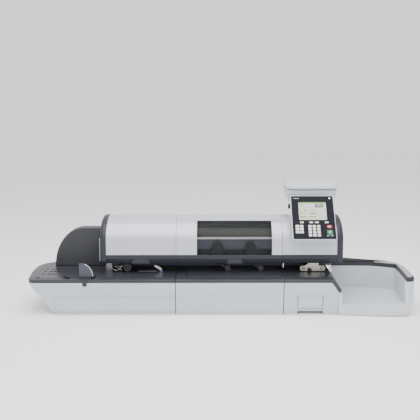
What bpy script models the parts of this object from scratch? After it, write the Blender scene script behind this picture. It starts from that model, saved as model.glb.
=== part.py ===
"""Mailroom franking machine: feeder, sealing module, franking module with control panel and
weighing scale, and catch tray, standing in one line. Metres, +Z up, mail runs towards +X,
the operator stands at -Y. The origin is under the middle of the machine, on the table."""

import math

import bmesh
import bpy
from mathutils import Matrix, Vector

# ---------------------------------------------------------------- driving dimensions
LEFT_END = -0.820
RIGHT_END = 0.820
SEAM_FEEDER = -0.187  # feeder module meets sealing module
SEAM_FRANKER = 0.267  # sealing module meets franking module
BASE_END = 0.495  # franking module's right side
FRONT = -0.180
REAR = 0.130
DECK_TOP = 0.158
RIM = 0.0166  # height of the dark deck's edge
CASE_TOP = DECK_TOP - RIM - 0.0003
GAP = 0.0003  # between pieces that rest on each other
SEAM_GAP = 0.0005  # half the joint line between modules
WALL = 0.003
CASE_WALL = 0.004

COVER_LEFT = -0.515
COVER_RIGHT = 0.528
END_RING = 0.028  # width of the dark end pieces of the covers
COVER_FRONT = -0.090
TRIM_BOTTOM = 0.200
TRIM_TOP = 0.239
COVER_TOP = 0.390
COVER_CREST_Y = 0.050
COVER_REAR = 0.138
COVER_REAR_LOW = 0.310
HINGE_Y = 0.134  # axis of the covers' hinges
HINGE_Z = 0.3045

PANEL_X = 0.394
PANEL_WIDTH = 0.185
PANEL_LENGTH = 0.2125
PANEL_THICK = 0.025
PANEL_FOOT = Vector((PANEL_X, -0.160, 0.320))  # middle of the face's lower edge
PANEL_SLOPE = math.atan2(0.163, 0.130)

SCALE_X = 0.402
SCALE_WIDTH = 0.221
SCALE_FRONT = 0.004
SCALE_REAR = 0.200
PAN_TOP = 0.5215

ROLLER_SEGMENTS = 24


# ---------------------------------------------------------------- scene and materials
def empty_scene():
    for old in list(bpy.data.objects):
        bpy.data.objects.remove(old)


def new_collection(name):
    made = bpy.data.collections.new(name)
    bpy.context.scene.collection.children.link(made)
    return made


def material(name, colour, roughness=0.5, metallic=0.0, alpha=1.0):
    made = bpy.data.materials.new(name)
    made.use_nodes = True
    shader = made.node_tree.nodes["Principled BSDF"]
    shader.inputs["Base Color"].default_value = (*colour, 1.0)
    shader.inputs["Roughness"].default_value = roughness
    shader.inputs["Metallic"].default_value = metallic
    shader.inputs["Alpha"].default_value = alpha
    made.diffuse_color = (*colour, alpha)
    return made


empty_scene()
MACHINE = new_collection("franking_machine")
HELPERS = new_collection("cutters")

LIGHT_GREY = material("light_grey_casing", (0.62, 0.65, 0.67), 0.42)
SILVER_GREY = material("silver_grey_cover", (0.60, 0.61, 0.64), 0.38)
CHARCOAL = material("charcoal_plastic", (0.055, 0.055, 0.065), 0.40)
BLUE_GREY = material("blue_grey_frame", (0.17, 0.19, 0.22), 0.5)
SMOKED = material("smoked_window", (0.12, 0.13, 0.12), 0.08, 0.0, 0.35)
RUBBER = material("black_rubber", (0.02, 0.02, 0.02), 0.8)
STEEL = material("zinc_steel", (0.62, 0.60, 0.55), 0.35, 0.9)
SCREEN = material("screen", (0.80, 0.86, 0.78), 0.15)
KEY_WHITE = material("white_key", (0.82, 0.83, 0.84), 0.5)
KEY_RED = material("red_key", (0.62, 0.05, 0.09), 0.45)
KEY_GREEN = material("green_key", (0.02, 0.36, 0.16), 0.45)
BOARD = material("circuit_board", (0.03, 0.20, 0.08), 0.5)


# ---------------------------------------------------------------- modelling helpers
def add(name, mesh, finish, parent=None, location=(0, 0, 0)):
    """Links a mesh into the machine as one named sub-part."""
    obj = bpy.data.objects.new(name, mesh)
    MACHINE.objects.link(obj)
    obj.location = location
    obj.parent = parent
    if finish:
        mesh.materials.append(finish)
    return obj


def as_helper(obj):
    """Turns an object into a cutter or union operand, left out of the machine."""
    MACHINE.objects.unlink(obj)
    HELPERS.objects.link(obj)
    obj.hide_render = True
    obj.display_type = "WIRE"
    return obj


def face_outwards(bm):
    bmesh.ops.recalc_face_normals(bm, faces=bm.faces)
    if bm.calc_volume(signed=True) < 0:
        bmesh.ops.reverse_faces(bm, faces=bm.faces)


def mesh_from(bm, name, closed=True):
    if closed:
        face_outwards(bm)
    mesh = bpy.data.meshes.new(name)
    bm.to_mesh(mesh)
    bm.free()
    return mesh


def block(name, low, high, finish=None, parent=None, bevel=0.0):
    """A box between two corners, with its origin in its middle."""
    low, high = Vector(low), Vector(high)
    bm = bmesh.new()
    bmesh.ops.create_cube(bm, size=1.0)
    bmesh.ops.scale(bm, vec=high - low, verts=bm.verts)
    obj = add(name, mesh_from(bm, name), finish, parent, (low + high) / 2)
    if bevel:
        round_edges(obj, bevel)
    return obj


def round_edges(obj, width, segments=1):
    bevel = obj.modifiers.new("rounded_edges", "BEVEL")
    bevel.width = width
    bevel.segments = segments
    return obj


TURN_TO = {
    "X": Matrix.Rotation(math.pi / 2, 4, "Y"),
    "Y": Matrix.Rotation(math.pi / 2, 4, "X"),
    "Z": Matrix.Identity(4),
}


def cylinder(
    name, centre, radius, length, axis="Y", finish=None, parent=None, segments=ROLLER_SEGMENTS
):
    bm = bmesh.new()
    bmesh.ops.create_cone(
        bm, cap_ends=True, segments=segments, radius1=radius, radius2=radius, depth=length
    )
    bmesh.ops.transform(bm, matrix=TURN_TO[axis], verts=bm.verts)
    obj = add(name, mesh_from(bm, name), finish, parent, centre)
    obj.data.shade_smooth()
    obj.data.set_sharp_from_angle(angle=math.radians(40))
    return obj


def fillet(corners, steps=4):
    """A closed outline from (a, b, radius) corners, each corner rounded by its radius."""
    outline = []
    count = len(corners)
    for i, (a, b, radius) in enumerate(corners):
        here = Vector((a, b))
        if radius == 0:
            outline.append(here)
            continue
        back = (Vector(corners[i - 1][:2]) - here).normalized()
        ahead = (Vector(corners[(i + 1) % count][:2]) - here).normalized()
        half = back.angle(ahead) / 2
        centre = here + (back + ahead).normalized() * (radius / math.sin(half))
        start = here + back * (radius / math.tan(half)) - centre
        end = here + ahead * (radius / math.tan(half)) - centre
        for k in range(steps + 1):
            outline.append(centre + start.normalized().slerp(end.normalized(), k / steps) * radius)
    return outline


PLACE = {
    "X": lambda a, b, depth: (depth, a, b),
    "Y": lambda a, b, depth: (a, depth, b),
    "Z": lambda a, b, depth: (a, b, depth),
}


def plate(name, outlines, axis, low, high, finish=None, parent=None):
    """A flat outline, or an outline with holes, given thickness along one axis."""
    if not isinstance(outlines[0], (list, tuple)) or not hasattr(outlines[0][0], "__len__"):
        outlines = [outlines]
    curve = bpy.data.curves.new(name, "CURVE")
    curve.dimensions = "2D"
    curve.fill_mode = "BOTH"
    curve.extrude = (high - low) / 2
    for outline in outlines:
        spline = curve.splines.new("POLY")
        spline.points.add(len(outline) - 1)
        for point, (a, b) in zip(spline.points, outline):
            point.co = (a, b, 0, 1)
        spline.use_cyclic_u = True
    drawn = bpy.data.objects.new(name + "_outline", curve)
    MACHINE.objects.link(drawn)
    bpy.context.view_layer.update()
    solid = bpy.data.meshes.new_from_object(drawn.evaluated_get(bpy.context.evaluated_depsgraph_get()))
    bpy.data.objects.remove(drawn)
    bm = bmesh.new()
    bm.from_mesh(solid)
    bmesh.ops.remove_doubles(bm, verts=bm.verts, dist=0.00001)
    middle = (low + high) / 2
    for vert in bm.verts:
        vert.co = PLACE[axis](vert.co.x, vert.co.y, vert.co.z + middle)
    return add(name, mesh_from(bm, name), finish, parent)


def loft(name, rings, finish=None, parent=None, open_end=False):
    """Skins a stack of rings with equal point counts; the last ring stays open on a shell."""
    bm = bmesh.new()
    loops = [[bm.verts.new(point) for point in ring] for ring in rings]
    for lower, upper in zip(loops, loops[1:]):
        for i in range(len(lower)):
            j = (i + 1) % len(lower)
            bm.faces.new((lower[i], lower[j], upper[j], upper[i]))
    bm.faces.new(list(reversed(loops[0])))
    lid = bm.faces.new(loops[-1])
    face_outwards(bm)
    if open_end:
        bm.faces.remove(lid)
    return add(name, mesh_from(bm, name, closed=False), finish, parent)


def tub(name, rings, finish, thickness=CASE_WALL, parent=None):
    """An open shell: the stack's first ring is its closed bottom, its last ring its rim."""
    obj = loft(name, rings, finish, parent, open_end=True)
    skin = obj.modifiers.new("wall", "SOLIDIFY")
    skin.thickness = thickness
    skin.offset = -1
    skin.use_even_offset = True
    return obj


def sheet_shell(name, profile, low, high, finish, thickness=WALL):
    """A bent sheet: an open (y, z) profile run along X and thickened inwards."""
    bm = bmesh.new()
    row = [bm.verts.new((low, y, z)) for y, z in profile]
    edges = [bm.edges.new(pair) for pair in zip(row, row[1:])]
    swept = bmesh.ops.extrude_edge_only(bm, edges=edges)["geom"]
    bmesh.ops.translate(
        bm, vec=(high - low, 0, 0), verts=[v for v in swept if isinstance(v, bmesh.types.BMVert)]
    )
    bm.normal_update()
    bm.faces.ensure_lookup_table()
    if bm.faces[0].normal.y > 0:
        bmesh.ops.reverse_faces(bm, faces=bm.faces)
    obj = add(name, mesh_from(bm, name, closed=False), finish)
    skin = obj.modifiers.new("wall", "SOLIDIFY")
    skin.thickness = thickness
    skin.offset = -1
    skin.use_even_offset = True
    return obj


def boolean(obj, other, operation):
    step = obj.modifiers.new(f"{operation.lower()}_{other.name}", "BOOLEAN")
    step.operation = operation
    step.solver = "EXACT"
    step.object = as_helper(other)
    return obj


def cut(obj, *cutters):
    for cutter in cutters:
        boolean(obj, cutter, "DIFFERENCE")
    return obj


def join(obj, *others):
    for other in others:
        boolean(obj, other, "UNION")
    return obj


def pivot(name, location, slope=0.0):
    """An empty on a joint's axis, which carries the pieces that move with the joint."""
    empty = bpy.data.objects.new(name, None)
    MACHINE.objects.link(empty)
    empty.location = location
    empty.rotation_euler = (slope, 0, 0)
    return empty


def carry(empty, *objects):
    """Parents finished pieces to a pivot and keeps them where they are."""
    bpy.context.view_layer.update()
    for obj in objects:
        obj.parent = empty
        obj.matrix_parent_inverse = empty.matrix_world.inverted()


# ---------------------------------------------------------------- base casings
# (height, how far the left end draws in, how far the front draws in)
CASE_LEVELS = (
    (0.0000, 0.0914, 0.011),
    (0.0100, 0.0914, 0.011),
    (0.0285, 0.0740, 0.010),
    (0.0520, 0.0590, 0.009),
    (0.0846, 0.0430, 0.007),
    (0.0866, 0.0400, 0.004),
    (0.1000, 0.0250, 0.002),
    (0.1200, 0.0100, 0.001),
    (0.1335, 0.0010, 0.0),
    (CASE_TOP, 0.0010, 0.0),
)


def end_plan(end_in, front_in, rear_in=0.0, seam_in=0.0):
    """Plan of the feeder module: square at the seam, a blunt rounded end at the left."""
    seam = SEAM_FEEDER - SEAM_GAP - seam_in
    front, rear = FRONT + front_in, REAR - rear_in
    return fillet(
        (
            (seam, rear, 0),
            (-0.795 + end_in, rear, 0.050),
            (LEFT_END + end_in, 0.060, 0.120),
            (LEFT_END + end_in, -0.040, 0.250),
            (-0.803 + end_in, front, 0.035),
            (seam, front, 0),
        )
    )


def box_plan(left, right, front_in, rear_in=0.0):
    front, rear = FRONT + front_in, REAR - rear_in
    return [Vector(p) for p in ((right, rear), (left, rear), (left, front), (right, front))]


def at_height(outline, z):
    return [(a, b, z) for a, b in outline]


def feeder_base():
    rings = [at_height(end_plan(end_in, front_in), z) for z, end_in, front_in in CASE_LEVELS]
    tub("feeder_base_casing", rings, LIGHT_GREY)


def sealer_base():
    left, right = SEAM_FEEDER + SEAM_GAP, SEAM_FRANKER - SEAM_GAP
    rings = [at_height(box_plan(left, right, front_in), z) for z, _, front_in in CASE_LEVELS]
    tub("sealer_base_casing", rings, LIGHT_GREY)


DRAWER_LEFT, DRAWER_RIGHT = 0.3266, 0.4312
DRAWER_LOW, DRAWER_HIGH = 0.031, 0.0852
UNDERPASS = 0.0127  # clear height between the franking module's two foot boxes
BELLY_FRONT = -0.1605  # the set-back wall under the drawer
INLET_X, SWITCH_X = 0.380, 0.430
INLET_Z = 0.060


def franker_base():
    """The franking module's casing: a drawer bay at the front and a raised belly between feet."""
    left, right = SEAM_FRANKER + SEAM_GAP, BASE_END
    rings = [at_height(box_plan(left, right, front_in), z) for z, _, front_in in CASE_LEVELS]
    casing = loft("franker_base_casing", rings, LIGHT_GREY)
    inside = block("casing_inside", (left + 0.004, -0.165, 0.017), (right - 0.004, REAR - 0.004, 0.2))
    belly = block("belly", (DRAWER_LEFT, FRONT - 0.05, -0.01), (DRAWER_RIGHT, REAR + 0.05, UNDERPASS))
    bay = block(
        "drawer_bay",
        (DRAWER_LEFT, FRONT - 0.05, DRAWER_LOW - 0.0008),
        (DRAWER_RIGHT, -0.150, DRAWER_HIGH + 0.0008),
    )
    finger_groove = block(
        "finger_groove", (DRAWER_LEFT, FRONT - 0.05, -0.01), (DRAWER_RIGHT, BELLY_FRONT, DRAWER_LOW)
    )
    belly_wall = block(
        "belly_wall",
        (DRAWER_LEFT - 0.001, BELLY_FRONT, UNDERPASS),
        (DRAWER_RIGHT + 0.001, BELLY_FRONT + 0.004, DRAWER_LOW - 0.0008),
    )
    slope = plate(
        "corner_slope",
        [(0.4526, 0.1600), (0.4969, 0.0992), (0.60, 0.0992), (0.60, 0.1600)],
        "Y",
        FRONT - 0.05,
        REAR + 0.05,
    )
    inlet_hole = block(
        "inlet_hole",
        (INLET_X - 0.0145, REAR - 0.02, INLET_Z - 0.0105),
        (INLET_X + 0.0145, REAR + 0.02, INLET_Z + 0.0105),
    )
    switch_hole = block(
        "switch_hole",
        (SWITCH_X - 0.0105, REAR - 0.02, INLET_Z - 0.0075),
        (SWITCH_X + 0.0105, REAR + 0.02, INLET_Z + 0.0075),
    )
    cut(casing, inside, belly, bay, finger_groove, slope, inlet_hole, switch_hole)
    join(casing, belly_wall)


# ---------------------------------------------------------------- decks
DECK_LIP = 0.026  # the sloped strip along the deck's front edge
LIP_DROP = 0.0035
PLATE_THICK = 0.0075
FEED_X = -0.400
FEED_R = 0.020
FEED_Z = DECK_TOP + 0.0012 - FEED_R
FEED_WHEELS = (-0.050, 0.000)
WHEEL_WIDTH = 0.022
SHAFT_R = 0.004
SEPARATOR_R = 0.018
SEPARATOR_Z = DECK_TOP + 0.0018 + SEPARATOR_R


def deck_levels(plan):
    """Rings of a deck cap, from its flat top down to its lower edge."""
    return [
        at_height(plan(0.004, DECK_LIP), DECK_TOP),
        at_height(plan(0.0015, 0.0015), DECK_TOP - LIP_DROP),
        at_height(plan(0.0, 0.0), DECK_TOP - LIP_DROP - 0.001),
        at_height(plan(0.0, 0.0), DECK_TOP - RIM),
    ]


def deck_cap(name, plan, hollow_plan):
    """A deck: a thick top plate with a sloped front lip, and a skirt round a hollow underside."""
    deck = loft(name, deck_levels(plan), CHARCOAL)
    hollow = plate(f"{name}_hollow", hollow_plan, "Z", DECK_TOP - RIM - 0.01, DECK_TOP - PLATE_THICK)
    return cut(deck, hollow)


def feeder_deck():
    skin = CASE_WALL
    deck = deck_cap("feeder_deck", end_plan, end_plan(skin, skin, skin, skin))
    for side, y in (("front", -0.075), ("rear", 0.026)):
        lug = block(
            f"{side}_lug",
            (FEED_X - 0.009, y - 0.003, FEED_Z - 0.010),
            (FEED_X + 0.009, y + 0.003, 0.1555),
        )
        bore = cylinder(f"{side}_bore", (FEED_X, y, FEED_Z), SHAFT_R + GAP, 0.02)
        join(deck, lug)
        cut(deck, bore)
    for i, y in enumerate(FEED_WHEELS):
        half = WHEEL_WIDTH / 2 + 0.0015
        slot = block(
            f"wheel_slot_{i}",
            (FEED_X - 0.0215, y - half, 0.12),
            (FEED_X + 0.0215, y + half, 0.17),
        )
        cut(deck, slot)
    for row in range(3):
        for column in range(5):
            x = -0.751 + column * 0.0075
            y = -0.058 + row * 0.034
            cut(
                deck,
                block(f"vent_{row}_{column}", (x, y - 0.009, 0.14), (x + 0.0035, y + 0.009, 0.17)),
            )


def sealer_deck():
    left, right = SEAM_FEEDER + SEAM_GAP, SEAM_FRANKER - SEAM_GAP
    skin = CASE_WALL

    def plan(end_in, front_in):
        return box_plan(left, right, front_in)

    deck_cap("sealer_deck", plan, box_plan(left + skin, right - skin, skin, skin))


RAMP_TOP, RAMP_FOOT = 0.475, 0.510
RAMP_FOOT_Z = 0.108


def franker_deck():
    """The franking module's deck, which turns down at its right into a short chute."""
    left = SEAM_FRANKER + SEAM_GAP
    skin, low = CASE_WALL, DECK_TOP - RIM
    outline = (
        (left, low),
        (left, DECK_TOP),
        (RAMP_TOP, DECK_TOP),
        (RAMP_FOOT, RAMP_FOOT_Z),
        (RAMP_FOOT - 0.0125, RAMP_FOOT_Z - 0.0088),
        (0.4668, low),
    )
    deck = plate("franker_deck", list(outline), "Y", FRONT, REAR, CHARCOAL)
    hollow = block(
        "deck_hollow",
        (left + skin, FRONT + 0.03, low - 0.01),
        (0.458, REAR - skin, DECK_TOP - skin),
    )
    strip = plate(
        "lip_wedge",
        [
            (FRONT - 0.001, DECK_TOP - LIP_DROP),
            (FRONT + DECK_LIP, DECK_TOP),
            (FRONT - 0.001, DECK_TOP + 0.01),
        ],
        "X",
        left - 0.01,
        RAMP_FOOT + 0.01,
    )
    cut(deck, hollow, strip)


# ---------------------------------------------------------------- feeder wall and side guide
WALL_RIGHT = -0.5165
WALL_TOP = 0.331
WALL_FRONT, WALL_BACK = 0.049, 0.100


def feeder_wall():
    """The upright letters lean on: a quarter-round shell, open at its back."""

    def outline(inset, y):
        centre_x, half_width = -0.605, 0.132
        foot = DECK_TOP + GAP + inset
        points = [(WALL_RIGHT - inset, y, foot), (WALL_RIGHT - inset, y, WALL_TOP - inset)]
        for k in range(13):
            turn = math.radians(90 + 90 * k / 12)
            x = centre_x + (half_width - inset) * math.cos(turn)
            z = foot + (WALL_TOP - inset - foot) * math.sin(turn)
            points.append((x, y, z))
        return points

    rings = [outline(0.003, WALL_FRONT), outline(0.0, WALL_FRONT + 0.003), outline(0.0, WALL_BACK)]
    tub("feeder_wall", rings, CHARCOAL, WALL)


GUIDE_LEFT, GUIDE_RIGHT = -0.650, -0.530


def side_guide():
    """The fin that holds the letter stack's front edge; it slides towards the wall."""
    home = pivot("side_guide_slide", (-0.561, -0.150, DECK_TOP))
    floor = DECK_TOP + GAP
    foot = block(
        "side_guide",
        (GUIDE_LEFT, -0.152, floor),
        (GUIDE_RIGHT, -0.118, floor + 0.003),
        BLUE_GREY,
    )
    fin = [(-0.592, floor + 0.001), (-0.532, floor + 0.001)]
    for k in range(9):
        turn = math.radians(90 * k / 8)
        fin.append((-0.588 + 0.054 * math.cos(turn), floor + 0.004 + 0.058 * math.sin(turn)))
    fin.append((-0.592, floor + 0.060))
    join(foot, plate("guide_fin", fin, "Y", -0.1515, -0.1465))
    carry(home, foot)
    lock_hinge = pivot("guide_lock_hinge", (-0.5645, FRONT - 0.0035, 0.152))
    lever = block(
        "guide_lock",
        (-0.573, FRONT - 0.0065, 0.128),
        (-0.556, FRONT - 0.0008, 0.1530),
        CHARCOAL,
        bevel=0.0008,
    )
    carry(lock_hinge, lever)


# ---------------------------------------------------------------- covers
def cover_profile(outset=0.0, front_low=TRIM_TOP + GAP):
    """The covers' outer line in (y, z): upright front, crease, round top, hinge at the rear."""
    points = [(COVER_FRONT - outset, front_low), (COVER_FRONT - outset + 0.001, 0.275)]
    for k in range(9):
        turn = math.radians(11.5 + (90 - 11.5) * k / 8)
        points.append(
            (
                COVER_CREST_Y - (0.139 + outset) * math.cos(turn),
                0.290 + (COVER_TOP - 0.290 + outset) * math.sin(turn),
            )
        )
    for k in range(1, 6):
        turn = math.radians(90 * k / 5)
        points.append(
            (
                COVER_CREST_Y + (COVER_REAR - COVER_CREST_Y + outset) * math.sin(turn),
                COVER_REAR_LOW + (COVER_TOP - COVER_REAR_LOW + outset) * math.cos(turn),
            )
        )
    return points


def trim_profile():
    """The dark band under a cover: an upright face, a rounded lower edge and a short return."""
    face = COVER_FRONT + 0.0015
    return [
        (face, TRIM_TOP),
        (face, 0.216),
        (face + 0.003, 0.207),
        (face + 0.007, 0.2015),
        (face + 0.0125, TRIM_BOTTOM),
    ]


def trim_band(name, low, high):
    return sheet_shell(name, trim_profile(), low, high, CHARCOAL, 0.0025)


def end_outline(outset):
    """Closed outline of a cover's end piece, from the crest down to its lower edge."""
    points = cover_profile(outset, 0.214)
    points.append((COVER_REAR + outset, 0.215))
    points.append((COVER_REAR + outset - 0.010, TRIM_BOTTOM))
    points.append((COVER_FRONT - outset + 0.012, TRIM_BOTTOM))
    return points


def end_piece(name, rings):
    """A dished end: rings are (x, outset) from the outer end inwards to the open side."""
    return tub(
        name,
        [[(x, y, z) for y, z in end_outline(outset)] for x, outset in rings],
        CHARCOAL,
        WALL,
    )


COVER_HINGES = {"feeder": (-0.430, -0.230), "sealer": (-0.130, 0.210)}
KNUCKLE = 0.012  # length of the frame's half of each hinge
KNUCKLE_R = 0.005
HINGE_PIN_R = 0.002


def hinge_lugs(hood, cover):
    """Gives a cover the ear and the pin that turn in each knuckle on the frame."""
    for i, x in enumerate(COVER_HINGES[cover]):
        ear_low = x + KNUCKLE / 2 + 0.0005
        ear = []
        for k in range(7):
            turn = math.radians(180 + 180 * k / 6)
            ear.append((HINGE_Y + KNUCKLE_R * math.cos(turn), HINGE_Z + KNUCKLE_R * math.sin(turn)))
        ear.append((COVER_REAR, COVER_REAR_LOW + 0.005))
        ear.append((COVER_REAR - 0.0028, COVER_REAR_LOW + 0.005))
        join(
            hood,
            plate(f"{cover}_hinge_ear_{i}", ear, "X", ear_low, ear_low + 0.004),
            cylinder(
                f"{cover}_hinge_pin_{i}",
                (x + 0.004, HINGE_Y, HINGE_Z),
                HINGE_PIN_R,
                0.010,
                "X",
                segments=12,
            ),
        )


def feeder_cover():
    hinge = pivot("feeder_cover_hinge", (SEAM_FEEDER, HINGE_Y, HINGE_Z))
    inner, outer = COVER_LEFT + END_RING, SEAM_FEEDER - SEAM_GAP
    hood = sheet_shell("feeder_hood", cover_profile(), inner + GAP, outer, SILVER_GREY)
    trim = end_piece(
        "feeder_hood_trim",
        ((COVER_LEFT, -0.006), (COVER_LEFT + 0.005, 0.0015), (inner, 0.0015)),
    )
    join(trim, trim_band("feeder_band", inner - 0.0015, outer))
    hinge_lugs(hood, "feeder")
    carry(hinge, hood, trim)


WINDOW_LEFT, WINDOW_RIGHT = -0.098, 0.222
WINDOW_LOW, WINDOW_HIGH = TRIM_TOP + 0.0015, 0.3755


def sealer_cover():
    hinge = pivot("sealer_cover_hinge", (SEAM_FRANKER, HINGE_Y, HINGE_Z))
    left, right = SEAM_FEEDER + SEAM_GAP, SEAM_FRANKER - SEAM_GAP
    hood = sheet_shell("sealer_hood", cover_profile(), left, right, SILVER_GREY)
    opening = block("window_opening", (WINDOW_LEFT, -0.2, 0.20), (WINDOW_RIGHT, 0.045, WINDOW_HIGH))
    cut(hood, opening)
    pane_line = [p for p in cover_profile(-0.0004, WINDOW_LOW) if p[1] < WINDOW_HIGH and p[0] < 0]
    crest = Vector(cover_profile(-0.0004)[2 + 6])
    below = Vector(pane_line[-1])
    if crest.y > below.y:
        pane_line.append(
            tuple(below.lerp(crest, (WINDOW_HIGH - GAP * 2 - below.y) / (crest.y - below.y))),
        )
    pane = sheet_shell(
        "hood_window", pane_line, WINDOW_LEFT + 0.0005, WINDOW_RIGHT - 0.0005, SMOKED, 0.0022
    )
    trim = trim_band("sealer_hood_trim", left, right)
    hinge_lugs(hood, "sealer")
    carry(hinge, hood, pane, trim)


def franker_cover():
    """The franking module's own cover stays put and carries the panel's hinge barrel."""
    left, right = SEAM_FRANKER + SEAM_GAP, COVER_RIGHT - END_RING
    hood = sheet_shell("franker_hood", cover_profile(), left, right - GAP, SILVER_GREY)
    barrel_y, barrel_z = panel_point(0.10, -0.035)
    neck = plate(
        "panel_neck",
        [
            (barrel_y - 0.008, barrel_z - 0.004),
            (barrel_y + 0.008, barrel_z + 0.004),
            (-0.020, 0.372),
            (-0.020, 0.366),
            (-0.0835, 0.316),
            (-0.0835, 0.330),
        ],
        "X",
        PANEL_X - 0.045,
        PANEL_X + 0.045,
    )
    barrel = cylinder("panel_barrel", (PANEL_X, barrel_y, barrel_z), 0.0095, 0.090, "X")
    bore = cylinder("panel_bore", (PANEL_X, barrel_y, barrel_z), 0.0034, 0.12, "X")
    join(hood, neck, barrel)
    cut(hood, bore)
    trim = end_piece(
        "franker_hood_trim",
        (
            (COVER_RIGHT, -0.012),
            (COVER_RIGHT - 0.006, -0.003),
            (COVER_RIGHT - 0.016, 0.0015),
            (right, 0.0015),
        ),
    )
    join(trim, trim_band("franker_band", left, right + 0.0015))


# ---------------------------------------------------------------- inside the covers
def upper_frame():
    """The hollow L-section beam along the machine that everything above the mail hangs on."""
    left, right = COVER_LEFT + END_RING + 0.003, COVER_RIGHT - END_RING - 0.0015
    front, step, low, under, top = -0.045, 0.050, DECK_TOP + GAP, 0.2200, 0.298

    def section(inset):
        return [
            (step + inset, low + inset),
            (REAR - inset, low + inset),
            (REAR - inset, top - inset),
            (front + inset, top - inset),
            (front + inset, under + inset),
            (step + inset, under + inset),
        ]

    beam = plate("upper_frame", [section(0), section(WALL)], "X", left, right, BLUE_GREY)
    cut(
        beam,
        block("print_port", (0.304, -0.038, 0.20), (0.376, 0.038, 0.23)),
        cylinder("separator_bore", (FEED_X, step, SEPARATOR_Z), SHAFT_R + GAP, 0.03),
        cylinder("eject_bore", (EJECT_X, step, EJECT_Z), EJECT_R + GAP, 0.03),
    )
    for i, x in enumerate(POD_X):
        cut(
            beam,
            cylinder(f"pod_bore_{i}", (x, front, POD_PIVOT_Z), POD_PIN_R + GAP, 0.03, segments=12),
        )
    for cover, places in COVER_HINGES.items():
        for i, x in enumerate(places):
            low_x, high_x = x - KNUCKLE / 2, x + KNUCKLE / 2
            web = block(
                f"{cover}_knuckle_web_{i}",
                (low_x, REAR - 0.008, top - 0.001),
                (high_x, HINGE_Y, HINGE_Z),
            )
            knuckle = cylinder(
                f"{cover}_knuckle_{i}",
                (x, HINGE_Y, HINGE_Z),
                KNUCKLE_R,
                KNUCKLE,
                "X",
                segments=12,
            )
            pin_hole = cylinder(
                f"{cover}_pin_hole_{i}", (x, HINGE_Y, HINGE_Z), HINGE_PIN_R + GAP, 0.02, "X", segments=12
            )
            join(beam, web, knuckle)
            cut(beam, pin_hole)


POD_X = (-0.0105, 0.1317)
POD_PIVOT_Z = 0.252
POD_HALF = 0.0295
POD_Y = (-0.0735, -0.0458)
POD_PIN_R = 0.003
PRESS_R = 0.013


def pressure_arm(number, x):
    """A sprung pod with a trailing arm, whose wheel presses letters on the deck."""
    swing = pivot(f"pressure_arm_{number}_pivot", (x, POD_Y[1], POD_PIVOT_Z))
    arch = [(x - POD_HALF, 0.206), (x + POD_HALF + 0.002, 0.206)]
    for k in range(13):
        turn = math.radians(180 * k / 12)
        arch.append((x + POD_HALF * math.cos(turn), POD_PIVOT_Z + 0.0415 * math.sin(turn)))
    pod = plate(f"pressure_arm_{number}", arch, "Y", POD_Y[0], POD_Y[1], RUBBER)
    wheel_x, wheel_z = x + 0.045, DECK_TOP + 0.0005 + PRESS_R
    arm = plate(
        f"trailing_arm_{number}",
        [
            (x + 0.006, 0.210),
            (wheel_x - 0.006, wheel_z - 0.005),
            (wheel_x + 0.003, wheel_z - 0.003),
            (wheel_x + 0.004, wheel_z + 0.006),
            (x + 0.028, 0.215),
        ],
        "Y",
        -0.066,
        -0.060,
    )
    wheel = cylinder(f"press_wheel_{number}", (wheel_x, -0.0515, wheel_z), PRESS_R, 0.020)
    pin = cylinder(f"pod_pin_{number}", (x, -0.0420, POD_PIVOT_Z), POD_PIN_R, 0.012, segments=12)
    join(pod, arm, wheel, pin)
    carry(swing, pod)


def feed_rollers():
    """The driven feed roller under the deck and the separator roller that faces it."""
    drive = pivot("feed_roller_spin", (FEED_X, -0.025, FEED_Z))
    shaft = cylinder("feed_roller", (FEED_X, -0.0245, FEED_Z), SHAFT_R, 0.122, finish=RUBBER)
    for i, y in enumerate(FEED_WHEELS):
        join(shaft, cylinder(f"feed_wheel_{i}", (FEED_X, y, FEED_Z), FEED_R, WHEEL_WIDTH))
    carry(drive, shaft)
    idle = pivot("separator_roller_spin", (FEED_X, -0.010, SEPARATOR_Z))
    roller = cylinder("separator_roller", (FEED_X, 0.007, SEPARATOR_Z), SHAFT_R, 0.105, finish=RUBBER)
    for i, y in enumerate(FEED_WHEELS):
        join(roller, cylinder(f"separator_wheel_{i}", (FEED_X, y, SEPARATOR_Z), SEPARATOR_R, 0.018))
    carry(idle, roller)


EJECT_X, EJECT_Z, EJECT_R = 0.387, DECK_TOP + 0.0095, 0.009


def eject_unit():
    """The exit roller and the zinc-plated plate in front of it."""
    spin = pivot("eject_roller_spin", (EJECT_X, -0.060, EJECT_Z))
    roller = cylinder("eject_roller", (EJECT_X, -0.0030, EJECT_Z), EJECT_R, 0.126, finish=RUBBER)
    carry(spin, roller)
    middle = 0.1752
    line = fillet(
        (
            (0.346, middle - 0.0145, 0.0140),
            (0.454, middle - 0.0145, 0.0140),
            (0.454, middle + 0.0145, 0.0140),
            (0.346, middle + 0.0145, 0.0140),
        ),
        5,
    )
    bracket = plate("eject_bracket", line, "Y", -0.0610, -0.0580, STEEL)
    strap = block("bracket_strap", (0.380, -0.0610, 0.180), (0.426, -0.0580, 0.2240))
    foot = block("bracket_foot", (0.380, -0.0610, 0.2180), (0.426, -0.0453, 0.2410))
    notch = cylinder("roller_notch", (EJECT_X, -0.0595, EJECT_Z), EJECT_R + 0.0008, 0.02)
    holes = [
        cylinder(f"screw_hole_{i}", (x, -0.0595, middle), 0.0030, 0.02)
        for i, x in enumerate((0.3595, 0.4405))
    ]
    join(bracket, strap, foot)
    cut(bracket, notch, *holes)


def print_cartridge():
    body = block(
        "print_cartridge", (0.308, -0.034, 0.2300), (0.372, 0.034, 0.2900), RUBBER, bevel=0.002
    )
    nozzle = block("cartridge_nozzle", (0.322, -0.014, 0.1900), (0.358, 0.014, 0.2320))
    join(body, nozzle)


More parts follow.
